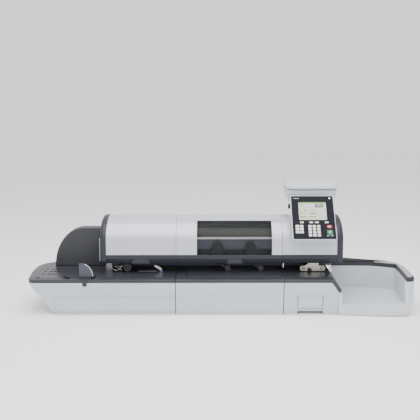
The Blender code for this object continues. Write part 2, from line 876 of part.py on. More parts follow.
# ---------------------------------------------------------------- inside the bases
def drive_motor():
    motor = cylinder("drive_motor", (FEED_X + 0.060, 0.060, 0.085), 0.026, 0.062, finish=STEEL)
    shaft = cylinder("motor_shaft", (FEED_X + 0.060, 0.012, 0.085), 0.003, 0.040)
    pulley = cylinder("motor_pulley", (FEED_X + 0.060, 0.000, 0.085), 0.009, 0.012)
    foot = block("motor_foot", (FEED_X + 0.030, 0.030, 0.0045), (FEED_X + 0.090, 0.090, 0.065))
    join(motor, shaft, pulley, foot)


def main_board():
    board = block("main_board", (0.285, 0.000, 0.0200), (0.445, 0.100, 0.0216), BOARD)
    chips = (((0.300, 0.015), (0.330, 0.045), 0.004), ((0.350, 0.020), (0.372, 0.042), 0.010))
    tall = (((0.395, 0.020), (0.411, 0.036), 0.025), ((0.415, 0.060), (0.437, 0.090), 0.014))
    for i, ((x0, y0), (x1, y1), height) in enumerate(chips + tall):
        join(board, block(f"board_part_{i}", (x0, y0, 0.0210), (x1, y1, 0.0216 + height)))


def ink_drawer():
    """The waste-ink drawer: a front that pulls out by its lower edge, with an open tray behind."""
    slide = pivot("ink_drawer_slide", ((DRAWER_LEFT + DRAWER_RIGHT) / 2, -0.170, DRAWER_LOW))
    left, right = DRAWER_LEFT + 0.0008, DRAWER_RIGHT - 0.0008
    front = block("ink_drawer", (left, -0.1710, DRAWER_LOW), (right, -0.1650, DRAWER_HIGH), LIGHT_GREY)
    box = block(
        "drawer_box",
        (left + 0.004, -0.1655, DRAWER_LOW + 0.003),
        (right - 0.004, -0.060, DRAWER_HIGH - 0.010),
    )
    join(front, box)
    cut(
        front,
        block(
            "drawer_inside",
            (left + 0.0065, -0.1625, DRAWER_LOW + 0.0055),
            (right - 0.0065, -0.0625, 0.12),
        ),
        block("front_keep", (left - 0.01, -0.1628, DRAWER_HIGH - 0.010), (right + 0.01, -0.05, 0.12)),
    )
    carry(slide, front)


def power_entry():
    """The mains inlet and the rocker switch in the back of the franking module."""
    low, high = INLET_Z - 0.010, INLET_Z + 0.010
    inlet = block(
        "power_inlet",
        (INLET_X - 0.014, REAR - 0.020, low),
        (INLET_X + 0.014, REAR + 0.0008, high),
        CHARCOAL,
    )
    flange = block(
        "inlet_flange",
        (INLET_X - 0.0175, REAR + 0.0005, low - 0.004),
        (INLET_X + 0.0175, REAR + 0.003, high + 0.004),
    )
    socket = block(
        "inlet_socket",
        (INLET_X - 0.0115, REAR - 0.015, low + 0.0025),
        (INLET_X + 0.0115, REAR + 0.02, high - 0.0025),
    )
    join(inlet, flange)
    cut(inlet, socket)
    for i, (dx, dz) in enumerate(((-0.006, -0.0015), (0.0, 0.002), (0.006, -0.0015))):
        join(
            inlet,
            block(
                f"inlet_pin_{i}",
                (INLET_X + dx - 0.001, REAR - 0.016, INLET_Z + dz - 0.002),
                (INLET_X + dx + 0.001, REAR - 0.003, INLET_Z + dz + 0.002),
            ),
        )
    rocker_pivot = pivot("power_switch_pivot", (SWITCH_X, REAR - 0.004, INLET_Z))
    rocker = block(
        "power_switch",
        (SWITCH_X - 0.0095, REAR - 0.008, INLET_Z - 0.0062),
        (SWITCH_X + 0.0095, REAR + 0.0030, INLET_Z + 0.0062),
        RUBBER,
        bevel=0.001,
    )
    carry(rocker_pivot, rocker)


# ---------------------------------------------------------------- catch tray
TRAY_LEFT = BASE_END + 0.0008
TRAY_INNER_RIGHT, TRAY_INNER_REAR = 0.772, 0.112
TRAY_FLOOR = 0.041
TRAY_LIP = 0.047
# (height, how far the right end draws in, where the front stands)
TRAY_LEVELS = (
    (0.0000, 0.030, -0.1955),
    (0.0080, 0.026, -0.2000),
    (0.0400, 0.012, -0.1930),
    (0.0900, 0.004, -0.1790),
    (CASE_TOP, 0.0005, -0.1650),
)


def tray_plan(end_in, front):
    left_front = front * 0.3 + FRONT * 0.7 + 0.008
    return fillet(
        (
            (TRAY_LEFT, left_front, 0),
            (0.700 - end_in, front, 0.300),
            (0.8165 - end_in, front, 0.028),
            (RIGHT_END - end_in, -0.060, 0.250),
            (RIGHT_END - end_in, 0.050, 0.120),
            (0.797 - end_in, REAR, 0.060),
            (TRAY_LEFT, REAR, 0),
        )
    )


def tray_inside(front, low, high, name, left=0.40):
    outline = fillet(
        (
            (left, front, 0),
            (TRAY_INNER_RIGHT + 0.002, front, 0.004),
            (TRAY_INNER_RIGHT + 0.018, 0.063, 0.014),
            (0.690, TRAY_INNER_REAR - 0.004, 0.150),
            (left, TRAY_INNER_REAR + 0.001, 0),
        )
    )
    return plate(name, outline, "Z", low, high)


def catch_tray():
    walls = [at_height(tray_plan(end_in, front), z) for z, end_in, front in TRAY_LEVELS]
    tray = loft("catch_tray", walls, LIGHT_GREY)
    cut(
        tray,
        tray_inside(-0.160, TRAY_FLOOR, 0.20, "tray_cavity"),
        block("tray_mouth", (RAMP_FOOT + 0.0015, -0.25, TRAY_LIP), (TRAY_INNER_RIGHT, -0.10, 0.20)),
        block(
            "chute_space",
            (TRAY_LEFT - 0.01, -0.25, RAMP_FOOT_Z - 0.0118),
            (RAMP_FOOT + 0.0015, 0.20, 0.20),
        ),
        block("under_floor", (TRAY_LEFT + 0.005, -0.155, -0.01), (0.768, 0.105, TRAY_FLOOR - 0.004)),
        block("rear_wall_core", (0.520, 0.1160, -0.01), (0.750, 0.1260, CASE_TOP - 0.004)),
    )
    rim = loft(
        "catch_tray_rim",
        [
            at_height(tray_plan(0.0, -0.1650), DECK_TOP - RIM),
            at_height(tray_plan(0.0, -0.1650), DECK_TOP - 0.003),
            at_height(tray_plan(0.003, -0.1620), DECK_TOP),
        ],
        CHARCOAL,
    )
    cut(
        rim,
        tray_inside(-0.30, 0.12, 0.20, "rim_cavity"),
        block("rim_left_end", (TRAY_LEFT - 0.02, -0.25, 0.12), (RAMP_FOOT + 0.0015, 0.20, 0.20)),
    )


# ---------------------------------------------------------------- control panel
PANEL_HINGE_V, PANEL_HINGE_N = 0.10, -0.035
BEZEL_THICK = 0.003
KEY_CLEARANCE = 0.0004
DISPLAY = (-0.060, 0.0930, 0.0575, 0.1810)  # left, low, right, high of the screen opening


def panel_point(v, n):
    """(y, z) in the machine of a point v up the panel's slope and n out of its face."""
    y = PANEL_FOOT.y + v * math.cos(PANEL_SLOPE) - n * math.sin(PANEL_SLOPE)
    z = PANEL_FOOT.z + v * math.sin(PANEL_SLOPE) + n * math.cos(PANEL_SLOPE)
    return y, z


def panel_keys():
    """Name, middle (u, v), size and finish of every key; u across, v up the panel's face."""
    keys = []
    for i, u in enumerate((-0.0500, -0.0107, 0.0131, 0.0543)):
        keys.append((f"soft_key_{i + 1}", u, 0.0810, 0.0160, 0.0068, KEY_WHITE))
    for row in range(3):
        for column in range(2):
            number = row * 2 + column + 1
            keys.append(
                (
                    f"function_key_{number}",
                    -0.0700 + column * 0.0178,
                    0.0630 - row * 0.0137,
                    0.0150,
                    0.0112,
                    KEY_WHITE,
                ),
            )
    digits = ("1", "2", "3", "4", "5", "6", "7", "8", "9", "clear", "0", "enter")
    for i, digit in enumerate(digits):
        keys.append(
            (
                f"key_{digit}",
                -0.0175 + (i % 3) * 0.0182,
                0.0626 - (i // 3) * 0.0140,
                0.0135,
                0.0112,
                KEY_WHITE,
            ),
        )
    keys.append(("stop_key", 0.0640, 0.0605, 0.0225, 0.0145, KEY_RED))
    keys.append(("start_key", 0.0645, 0.0310, 0.0255, 0.0290, KEY_GREEN))
    return keys


def control_panel():
    """Housing, bezel, screen and keys, built flat in the panel's own axes and then tilted."""
    face = pivot("panel_face", PANEL_FOOT, PANEL_SLOPE)
    half = PANEL_WIDTH / 2
    line = fillet(
        (
            (-half, 0, 0.006),
            (half, 0, 0.006),
            (half, PANEL_LENGTH, 0.006),
            (-half, PANEL_LENGTH, 0.006),
        ),
        3,
    )
    housing = plate("panel_housing", line, "Z", -PANEL_THICK, 0.0, LIGHT_GREY)
    pocket = block(
        "panel_pocket",
        (-half + 0.003, 0.003, -0.018),
        (half - 0.003, PANEL_LENGTH - 0.003, 0.01),
    )
    cut(housing, pocket)
    chin = plate(
        "panel_chin",
        [(0.001, -PANEL_THICK + 0.002), (0.001, -0.039), (0.010, -0.039), (0.040, -PANEL_THICK + 0.002)],
        "X",
        -half + 0.007,
        half - 0.007,
    )
    join(housing, chin)
    for side in (-1, 1):
        ear = plate(
            f"panel_ear_{side}",
            [
                (PANEL_HINGE_V - 0.014, -PANEL_THICK + 0.002),
                (PANEL_HINGE_V - 0.010, PANEL_HINGE_N - 0.004),
                (PANEL_HINGE_V - 0.004, PANEL_HINGE_N - 0.010),
                (PANEL_HINGE_V + 0.004, PANEL_HINGE_N - 0.010),
                (PANEL_HINGE_V + 0.010, PANEL_HINGE_N - 0.004),
                (PANEL_HINGE_V + 0.014, -PANEL_THICK + 0.002),
            ],
            "X",
            side * 0.050 - 0.0045,
            side * 0.050 + 0.0045,
        )
        pin = cylinder(
            f"panel_pin_{side}",
            (side * 0.046, PANEL_HINGE_V, PANEL_HINGE_N),
            0.003,
            0.016,
            "X",
        )
        join(housing, ear, pin)
    left, low, right, high = DISPLAY
    bezel = block(
        "panel_bezel",
        (-half + 0.0033, 0.0033, -BEZEL_THICK + 0.001),
        (half - 0.0033, PANEL_LENGTH - 0.0033, 0.001),
        CHARCOAL,
    )
    cut(bezel, block("screen_opening", (left, low, -0.02), (right, high, 0.02)))
    screen = block(
        "display",
        (left - 0.004, low - 0.004, -0.011),
        (right + 0.004, high + 0.004, -BEZEL_THICK + 0.001 - GAP),
        SCREEN,
    )
    bpy.context.view_layer.update()
    tilt_y, tilt_z = panel_point(PANEL_HINGE_V, PANEL_HINGE_N)
    tilt = pivot("panel_tilt", (PANEL_X, tilt_y, tilt_z))
    for name, u, v, width, height, finish in panel_keys():
        w, h, c = width / 2, height / 2, KEY_CLEARANCE
        cut(bezel, block(f"{name}_hole", (u - w - c, v - h - c, -0.02), (u + w + c, v + h + c, 0.02)))
        key = block(name, (u - w, v - h, -0.0065), (u + w, v + h, 0.0028), finish, bevel=0.0008)
        key.parent = face
    for piece in (housing, bezel, screen):
        piece.parent = face
        for step in piece.modifiers:
            if step.type == "BOOLEAN":
                step.object.parent = face
    bpy.context.view_layer.update()
    face.parent = tilt
    face.matrix_parent_inverse = tilt.matrix_world.inverted()


# ---------------------------------------------------------------- weighing scale
def rounded_rect(cx, half_width, front, rear, radius, z):
    corners = (
        (cx - half_width, front, radius),
        (cx + half_width, front, radius),
        (cx + half_width, rear, radius),
        (cx - half_width, rear, radius),
    )
    return at_height(fillet(corners, 3), z)


def weighing_scale():
    half = SCALE_WIDTH / 2
    rings = [
        rounded_rect(SCALE_X, half - 0.016, SCALE_FRONT + 0.030, SCALE_REAR - 0.020, 0.016, 0.4430),
        rounded_rect(SCALE_X, half - 0.009, SCALE_FRONT + 0.018, SCALE_REAR - 0.008, 0.018, 0.4470),
        rounded_rect(SCALE_X, half - 0.001, SCALE_FRONT + 0.008, SCALE_REAR - 0.002, 0.020, 0.4880),
        rounded_rect(SCALE_X, half - 0.001, SCALE_FRONT + 0.008, SCALE_REAR - 0.002, 0.020, 0.5040),
    ]
    housing = tub("scale_housing", rings, LIGHT_GREY, WALL)
    column = block(
        "scale_column",
        (SCALE_X - 0.060, 0.030, COVER_TOP + GAP),
        (SCALE_X + 0.060, 0.120, 0.4450),
    )
    cell = block("load_cell", (SCALE_X - 0.055, 0.092, 0.4440), (SCALE_X + 0.055, 0.112, 0.4700))
    under_curve = plate(
        "column_foot_line",
        [(0.02, 0.3903), (0.055, 0.3906), (0.085, 0.3845), (0.13, 0.360), (0.13, 0.30), (0.02, 0.30)],
        "X",
        SCALE_X - 0.07,
        SCALE_X + 0.07,
    )
    join(housing, column, cell)
    cut(housing, under_curve)
    press = pivot("weigh_pan_press", (SCALE_X, 0.102, 0.4750))
    pan = loft(
        "weigh_pan",
        [
            rounded_rect(SCALE_X, half - 0.004, SCALE_FRONT + 0.004, SCALE_REAR - 0.004, 0.018, 0.5065),
            rounded_rect(SCALE_X, half, SCALE_FRONT, SCALE_REAR, 0.022, 0.5105),
            rounded_rect(SCALE_X, half, SCALE_FRONT, SCALE_REAR, 0.022, PAN_TOP - 0.002),
            rounded_rect(
                SCALE_X, half - 0.002, SCALE_FRONT + 0.002, SCALE_REAR - 0.002, 0.020, PAN_TOP
            ),
        ],
        LIGHT_GREY,
    )
    hollow = block(
        "pan_hollow",
        (SCALE_X - half + 0.012, SCALE_FRONT + 0.012, 0.49),
        (SCALE_X + half - 0.012, SCALE_REAR - 0.012, PAN_TOP - 0.003),
    )
    cut(pan, hollow)
    join(
        pan,
        block("pan_stem", (SCALE_X - 0.012, 0.094, 0.4725), (SCALE_X + 0.012, 0.110, PAN_TOP - 0.001)),
    )
    carry(press, pan)


feeder_base()
sealer_base()
franker_base()
feeder_deck()
sealer_deck()
franker_deck()
feeder_wall()
side_guide()
feeder_cover()
sealer_cover()
franker_cover()
upper_frame()
for arm_number, arm_x in enumerate(POD_X, 1):
    pressure_arm(arm_number, arm_x)
feed_rollers()
eject_unit()
print_cartridge()
drive_motor()
main_board()
ink_drawer()
power_entry()
catch_tray()
control_panel()
weighing_scale()
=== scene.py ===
"""A tabletop franking line: letter feeder, sealing module, franking module and catch tray.

Metres, +X along the mail flow, -Y towards the operator, +Z up, the table at z = 0.
"""

import math

import bmesh
import bpy
from mathutils import Matrix, Vector


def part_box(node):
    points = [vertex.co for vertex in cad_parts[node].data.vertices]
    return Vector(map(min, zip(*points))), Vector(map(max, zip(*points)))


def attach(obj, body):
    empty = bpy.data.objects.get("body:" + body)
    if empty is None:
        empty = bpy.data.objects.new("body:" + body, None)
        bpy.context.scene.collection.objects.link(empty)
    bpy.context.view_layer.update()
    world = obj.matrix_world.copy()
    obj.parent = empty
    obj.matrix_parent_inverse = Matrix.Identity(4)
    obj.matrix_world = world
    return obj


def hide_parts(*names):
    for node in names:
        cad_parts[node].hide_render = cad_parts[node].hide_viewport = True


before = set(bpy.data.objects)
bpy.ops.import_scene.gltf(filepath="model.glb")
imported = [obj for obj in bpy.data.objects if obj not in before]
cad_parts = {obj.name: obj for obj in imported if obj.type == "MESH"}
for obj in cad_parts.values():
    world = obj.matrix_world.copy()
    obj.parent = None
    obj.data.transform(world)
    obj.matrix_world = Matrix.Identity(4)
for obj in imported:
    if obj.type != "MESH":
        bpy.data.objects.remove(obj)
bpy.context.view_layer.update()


# ---------------------------------------------------------------- feeder base
# The letter feeder's lower casing: one injection-moulded tub of pale grey ABS with a
# fine spark grain.  Its left end is boat shaped, an upper bowl over a lower one, and
# the front has a shallow recessed panel.  It bolts to the sealing base at the seam.


class Socket:
    """A node's output.  Arithmetic on it adds Math nodes, and node() adds any other node."""

    def __init__(self, tree, output):
        self.tree = tree
        self.output = output

    def node(self, kind, inputs, settings=None, output=0):
        made = self.tree.nodes.new("ShaderNode" + kind)
        for key, value in (settings or {}).items():
            setattr(made, key, value)
        for key, value in inputs.items():
            if isinstance(value, Socket):
                self.tree.links.new(value.output, made.inputs[key])
            else:
                made.inputs[key].default_value = value
        return Socket(self.tree, made.outputs[output]) if len(made.outputs) else None

    def math(self, operation, a, b):
        return self.node("Math", {0: a, 1: b}, {"operation": operation})

    def __add__(self, other):
        return self.math("ADD", self, other)

    def __radd__(self, other):
        return self.math("ADD", other, self)

    def __sub__(self, other):
        return self.math("SUBTRACT", self, other)

    def __rsub__(self, other):
        return self.math("SUBTRACT", other, self)

    def __mul__(self, other):
        return self.math("MULTIPLY", self, other)

    def __rmul__(self, other):
        return self.math("MULTIPLY", other, self)

    def __gt__(self, other):
        return self.math("GREATER_THAN", self, other)

    def __lt__(self, other):
        return self.math("LESS_THAN", self, other)

    def between(self, start, end, low=0.0, high=1.0):
        """This value's place between start and end, held to low and high."""
        return self.node("MapRange", {0: self, 1: start, 2: end, 3: low, 4: high})

    def blend(self, low, high):
        """A colour that goes from low to high as this value goes from 0 to 1."""
        return self.node("Mix", {0: self, 6: low, 7: high}, {"data_type": "RGBA"}, 2)

    def stretched(self, x, y, z):
        return self.node("Mapping", {"Vector": self, "Scale": (x, y, z)})

    def noise(self, scale, detail=3.0):
        return self.node("TexNoise", {"Vector": self, "Scale": scale, "Detail": detail})


def new_material(name):
    """An empty material and the socket that gives each point's place in metres."""
    made = bpy.data.materials.new(name)
    made.use_nodes = True
    made.node_tree.nodes.clear()
    place = made.node_tree.nodes.new("ShaderNodeTexCoord").outputs["Object"]
    return made, Socket(made.node_tree, place)


def shaded(made, point, inputs):
    """Finishes a material with a Principled shader."""
    shader = point.node("BsdfPrincipled", inputs)
    point.node("OutputMaterial", {"Surface": shader})
    return made


def tint(colour, factor):
    return (*[min(1.0, part * factor) for part in colour], 1.0)


def moulded(name, colour, roughness, grain=0.0009, relief=0.00006, mottle=0.03, **fixed):
    """Moulded or painted plastic: spark grain, a slow drift of shade, rubbed and dusty places."""
    made, point = new_material(name)
    spark = point.noise(1.0 / grain, 2.0)
    cloud = point.noise(6.0, 4.0)
    rubbed = point.stretched(14.0, 90.0, 60.0).noise(1.0, 5.0).between(0.56, 0.78)
    shade = cloud.between(0.3, 0.7).blend(tint(colour, 1 - mottle), tint(colour, 1 + mottle))
    shade = (rubbed * 0.16).blend(shade, tint(colour, 1.25))
    inputs = {
        "Base Color": shade,
        "Roughness": roughness + (cloud - 0.5) * 0.14 + (spark - 0.5) * 0.10 - rubbed * 0.07,
        "Normal": point.node("Bump", {"Strength": 0.35, "Distance": relief, "Height": spark}),
    }
    inputs.update({key.replace("_", " "): value for key, value in fixed.items()})
    return shaded(made, point, inputs)


def rounded(corners, steps=5):
    """A closed outline from (a, b, radius) corners, each turned round by its radius."""
    outline = []
    for i, (a, b, radius) in enumerate(corners):
        here = Vector((a, b))
        if radius == 0:
            outline.append(here)
            continue
        back = (Vector(corners[i - 1][:2]) - here).normalized()
        ahead = (Vector(corners[(i + 1) % len(corners)][:2]) - here).normalized()
        half = back.angle(ahead) / 2
        centre = here + (back + ahead).normalized() * (radius / math.sin(half))
        start = here + back * (radius / math.tan(half)) - centre
        end = here + ahead * (radius / math.tan(half)) - centre
        for k in range(steps + 1):
            turn = start.normalized().slerp(end.normalized(), k / steps)
            outline.append(centre + turn * radius)
    return outline


def build(name, points, faces, material):
    """One object from points and faces, with its faces turned outwards."""
    bm = bmesh.new()
    corners = [bm.verts.new(point) for point in points]
    for face in faces:
        bm.faces.new([corners[i] for i in face])
    bmesh.ops.recalc_face_normals(bm, faces=bm.faces)
    mesh = bpy.data.meshes.new(name)
    bm.to_mesh(mesh)
    bm.free()
    if material:
        mesh.materials.append(material)
    made = bpy.data.objects.new(name, mesh)
    bpy.context.scene.collection.objects.link(made)
    return made


def loft(name, rings, material=None):
    """A closed skin over outlines of equal length, with a face on the first and the last."""
    count = len(rings[0])
    faces = [range(count), range((len(rings) - 1) * count, len(rings) * count)]
    for r in range(0, (len(rings) - 1) * count, count):
        for i in range(count):
            j = (i + 1) % count
            faces.append((r + i, r + j, r + count + j, r + count + i))
    return build(name, [point for ring in rings for point in ring], faces, material)


ALONG = {
    "X": lambda a, b, depth: (depth, a, b),
    "Y": lambda a, b, depth: (a, depth, b),
    "Z": lambda a, b, depth: (a, b, depth),
}


def prism(name, outline, axis, low, high, material=None):
    """A flat outline drawn out along one axis."""
    return loft(name, [[ALONG[axis](a, b, end) for a, b in outline] for end in (low, high)], material)


def slab(name, low, high, material=None):
    outline = ((low[0], low[1]), (high[0], low[1]), (high[0], high[1]), (low[0], high[1]))
    return prism(name, outline, "Z", low[2], high[2], material)


def combine(made, operation, others):
    """Cuts the others out of a piece, or welds them to it, and removes them."""
    for other in others:
        step = made.modifiers.new(operation, "BOOLEAN")
        step.operation = operation
        step.object = other
        step.solver = "EXACT"
    bpy.context.view_layer.update()
    done = made.evaluated_get(bpy.context.evaluated_depsgraph_get())
    mesh = bpy.data.meshes.new_from_object(done)
    made.modifiers.clear()
    made.data = mesh
    for other in others:
        bpy.data.objects.remove(other)
    return made


def carve(made, *cutters):
    return combine(made, "DIFFERENCE", cutters)


def weld(made, *others):
    return combine(made, "UNION", others)


def place(made, body, *nodes, edge=0.0006, steps=2, crease=30):
    """Rounds a piece's edges, shades it smooth, hangs it on its body and hides what it replaces."""
    for face in made.data.polygons:
        face.use_smooth = True
    made.data.set_sharp_from_angle(angle=math.radians(crease))
    if edge:
        bevel = made.modifiers.new("edges", "BEVEL")
        bevel.width = edge
        bevel.segments = steps
        bevel.limit_method = "ANGLE"
        bevel.angle_limit = math.radians(crease)
    flat = made.modifiers.new("flat faces", "WEIGHTED_NORMAL")
    flat.keep_sharp = not edge
    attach(made, body)
    if nodes:
        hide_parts(*nodes)
    return made


base_low, base_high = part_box("feeder_base_casing")
FRONT, REAR = base_low.y, base_high.y
SEAM = base_high.x
CASE_TOP = base_high.z
LEFT_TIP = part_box("feeder_deck")[0].x
CREASE_Z = 0.0857

# Height, how far the end is drawn in, how far the front is drawn in.
FOOT = ((0.0000, 0.0926, 0.0124), (0.0010, 0.0914, 0.0112), (0.0086, 0.0914, 0.0112))
FOOT_GROOVE = ((0.0092, 0.0926, 0.0124), (0.0104, 0.0920, 0.0124))
LOWER_BOWL = (
    (0.0112, 0.0900, 0.0110),
    (0.0200, 0.0815, 0.0105),
    (0.0285, 0.0740, 0.0100),
    (0.0400, 0.0660, 0.0095),
    (0.0520, 0.0590, 0.0090),
    (0.0680, 0.0510, 0.0080),
    (0.0830, 0.0440, 0.0069),
    (CREASE_Z - 0.0010, 0.0425, 0.0064),
)
UPPER_BOWL = (
    (CREASE_Z + 0.0004, 0.0402, 0.0042),
    (0.0930, 0.0318, 0.0034),
    (0.1000, 0.0245, 0.0026),
    (0.1100, 0.0158, 0.0016),
    (0.1200, 0.0092, 0.0008),
    (0.1290, 0.0040, 0.0003),
    (0.1350, 0.0013, 0.0000),
    (CASE_TOP - 0.0014, 0.0010, 0.0000),
    (CASE_TOP - 0.0004, 0.0014, 0.0005),
    (CASE_TOP, 0.0024, 0.0016),
)
CASE_LEVELS = FOOT + FOOT_GROOVE + LOWER_BOWL + UPPER_BOWL


SEAM_GAP = 0.0011


def feeder_ring(z, end_in, front_in, rear_in=0.0, seam_in=SEAM_GAP):
    """Plan of the feeder: square at the seam and blunt at its left end."""
    corners = (
        (SEAM - seam_in, REAR - rear_in, 0),
        (LEFT_TIP + 0.025 + end_in, REAR - rear_in, 0.050),
        (LEFT_TIP + end_in, 0.060, 0.120),
        (LEFT_TIP + end_in, -0.040, 0.250),
        (LEFT_TIP + 0.017 + end_in, FRONT + front_in, 0.035),
        (SEAM - seam_in, FRONT + front_in, 0),
    )
    return [(x, y, z) for x, y in rounded(corners, 8)]


def lower_front(z):
    """How far back the lower front stands at a height."""
    return FRONT + 0.0112 - (z - 0.0112) * 0.063


def recess(name, corners, depth):
    """A cutter for a shallow panel that follows the lower front's slope."""
    outline = rounded(corners)
    front = [(x, FRONT - 0.05, z) for x, z in outline]
    back = [(x, lower_front(z) + depth, z) for x, z in outline]
    return loft(name, [front, back])


def louvres(name, left, count, low, high):
    """Upright cooling slots through the rear wall."""
    slots = []
    for i in range(count):
        x = left + i * 0.011
        slots.append(slab(f"{name}_{i}", (x, REAR - 0.004, low), (x + 0.005, REAR + 0.01, high)))
    return slots


casing_grey = moulded("casing_grey", (0.480, 0.520, 0.555), 0.40, Specular_IOR_Level=0.40)
feeder_case = loft("feeder_case", [feeder_ring(*level) for level in CASE_LEVELS], casing_grey)
carve(
    feeder_case,
    recess(
        "feeder_panel",
        (
            (-0.6985, 0.0118, 0.002),
            (SEAM + 0.01, 0.0118, 0),
            (SEAM + 0.01, 0.0838, 0),
            (-0.6985, 0.0838, 0.0125),
        ),
        0.0032,
    ),
    slab("feeder_room", (-0.660, FRONT + 0.016, -0.01), (SEAM - 0.004, REAR - 0.004, 0.135)),
    *louvres("feeder_louvre", -0.420, 12, 0.060, 0.110),
)
place(feeder_case, "machine", "feeder_base_casing", edge=0.0007)


# ---------------------------------------------------------------- sealing base
# The moistening and sealing module's lower casing, the same grey ABS as its neighbours.
# Its front is plain: an upper band and a set-back skirt over a thin foot.


def box_ring(left, right, z, front_in, rear_in=0.0):
    low, high = FRONT + front_in, REAR - rear_in
    return [(left, low, z), (right, low, z), (right, high, z), (left, high, z)]


sealer_low, sealer_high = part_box("sealer_base_casing")
sealer_case = loft(
    "sealer_case",
    [
        box_ring(sealer_low.x + SEAM_GAP, sealer_high.x - SEAM_GAP, z, front_in)
        for z, _, front_in in CASE_LEVELS
    ],
    casing_grey,
)
carve(
    sealer_case,
    slab(
        "sealer_room",
        (sealer_low.x + 0.004, FRONT + 0.016, -0.01),
        (sealer_high.x - 0.004, REAR - 0.004, 0.135),
    ),
    *louvres("sealer_louvre", -0.060, 16, 0.060, 0.110),
)
place(sealer_case, "machine", "sealer_base_casing", edge=0.0010, steps=3)


# ---------------------------------------------------------------- franking base
# The franking module's lower casing stands on two feet.  Between them are the front of
# the waste ink drawer and a set-back belly; its right shoulder slopes under the chute.

franker_low, franker_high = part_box("franker_base_casing")
drawer_low, drawer_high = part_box("ink_drawer")
BAY_LEFT, BAY_RIGHT = drawer_low.x - 0.0026, drawer_high.x + 0.0026
UNDERPASS = 0.0127
BELLY_FRONT = -0.1605
franker_case = loft(
    "franker_case",
    [box_ring(franker_low.x + SEAM_GAP, franker_high.x, z, front_in) for z, _, front_in in CASE_LEVELS],
    casing_grey,
)
feet_gap = (
    (BAY_LEFT - 0.0045, -0.01),
    (BAY_RIGHT + 0.0045, -0.01),
    (BAY_RIGHT, UNDERPASS),
    (BAY_LEFT, UNDERPASS),
)
carve(
    franker_case,
    prism("shoulder", ((0.4526, 0.160), (0.4969, 0.0992), (0.52, 0.0992), (0.52, 0.160)), "Y", -0.3, 0.3),
    slab(
        "drawer_bay",
        (BAY_LEFT, FRONT - 0.02, drawer_low.z - 0.0006),
        (BAY_RIGHT, -0.058, drawer_high.z + 0.0004),
    ),
    slab("belly_gap", (BAY_LEFT, FRONT - 0.02, -0.01), (BAY_RIGHT, BELLY_FRONT, drawer_low.z)),
    prism("feet_gap", feet_gap, "Y", -0.3, 0.3),
    slab("franker_room", (0.272, FRONT + 0.016, 0.0875), (0.4600, REAR - 0.004, 0.135)),
    *louvres("franker_louvre", 0.290, 5, 0.088, 0.120),
    slab("inlet_hole", (0.3615, 0.108, 0.045), (0.3985, 0.2, 0.075)),
    slab("switch_hole", (0.4200, 0.120, 0.0532), (0.4400, 0.2, 0.0668)),
)
place(franker_case, "machine", "franker_base_casing", edge=0.0010, steps=3)
gasket_rubber = moulded("gasket_rubber", (0.012, 0.012, 0.014), 0.70)
for name, left, right in (
    ("feeder_gasket", SEAM - SEAM_GAP, sealer_low.x + SEAM_GAP),
    ("sealer_gasket", sealer_high.x - SEAM_GAP, franker_low.x + SEAM_GAP),
):
    gasket = slab(
        name, (left, FRONT + 0.0150, 0.012), (right, REAR - 0.010, CASE_TOP - 0.002), gasket_rubber
    )
    place(gasket, "machine", edge=0.0)

# The drawer front is a plain cap with a finger edge underneath; the tray behind it holds
# a felt pad for waste ink.
drawer_grey = moulded("drawer_grey", (0.480, 0.520, 0.555), 0.42)
drawer = weld(
    slab(
        "waste_drawer",
        (drawer_low.x, drawer_low.y, drawer_low.z),
        (drawer_high.x, drawer_low.y + 0.004, drawer_high.z),
        drawer_grey,
    ),
    slab("drawer_tray", (0.334, drawer_low.y + 0.003, 0.034), (0.424, drawer_high.y, 0.078), drawer_grey),
)
carve(drawer, slab("drawer_well", (0.337, -0.163, 0.037), (0.421, -0.063, 0.09)))
place(drawer, "ink_drawer", "ink_drawer", edge=0.0012, steps=3)


# ---------------------------------------------------------------- deck
# The charcoal deck that the letters slide along, in three parts over the three bases.
# Moulded ABS with a satin texture, polished in places by paper; a shallow slope and a
# bead run round its edge.

deck_charcoal = moulded(
    "deck_charcoal", (0.027, 0.028, 0.035), 0.34, grain=0.0013, relief=0.00010, mottle=0.12
)
DECK_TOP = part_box("feeder_deck")[1].z
DECK_LOW = 0.1414
DECK_EDGE = (
    (DECK_LOW, 0.0014),
    (DECK_LOW + 0.0005, 0.0004),
    (0.1462, 0.0000),
    (0.1468, 0.0008),
    (0.1476, 0.0008),
    (0.1482, 0.0000),
    (0.1524, 0.0002),
    (0.1540, 0.0012),
    (0.1548, 0.0030),
    (DECK_TOP - 0.0005, 0.0240),
    (DECK_TOP, 0.0265),
)
feeder_deck = loft(
    "feeder_deck_top",
    [feeder_ring(z, inset, inset, min(inset, 0.003)) for z, inset in DECK_EDGE],
    deck_charcoal,
)


def hole(name, left, right, front, rear, depth, radius):
    """A cutter for a round-cornered hole in the deck."""
    corners = ((left, front, radius), (right, front, radius), (right, rear, radius), (left, rear, radius))
    return prism(name, rounded(corners, 4), "Z", DECK_TOP - depth, DECK_TOP + 0.01)


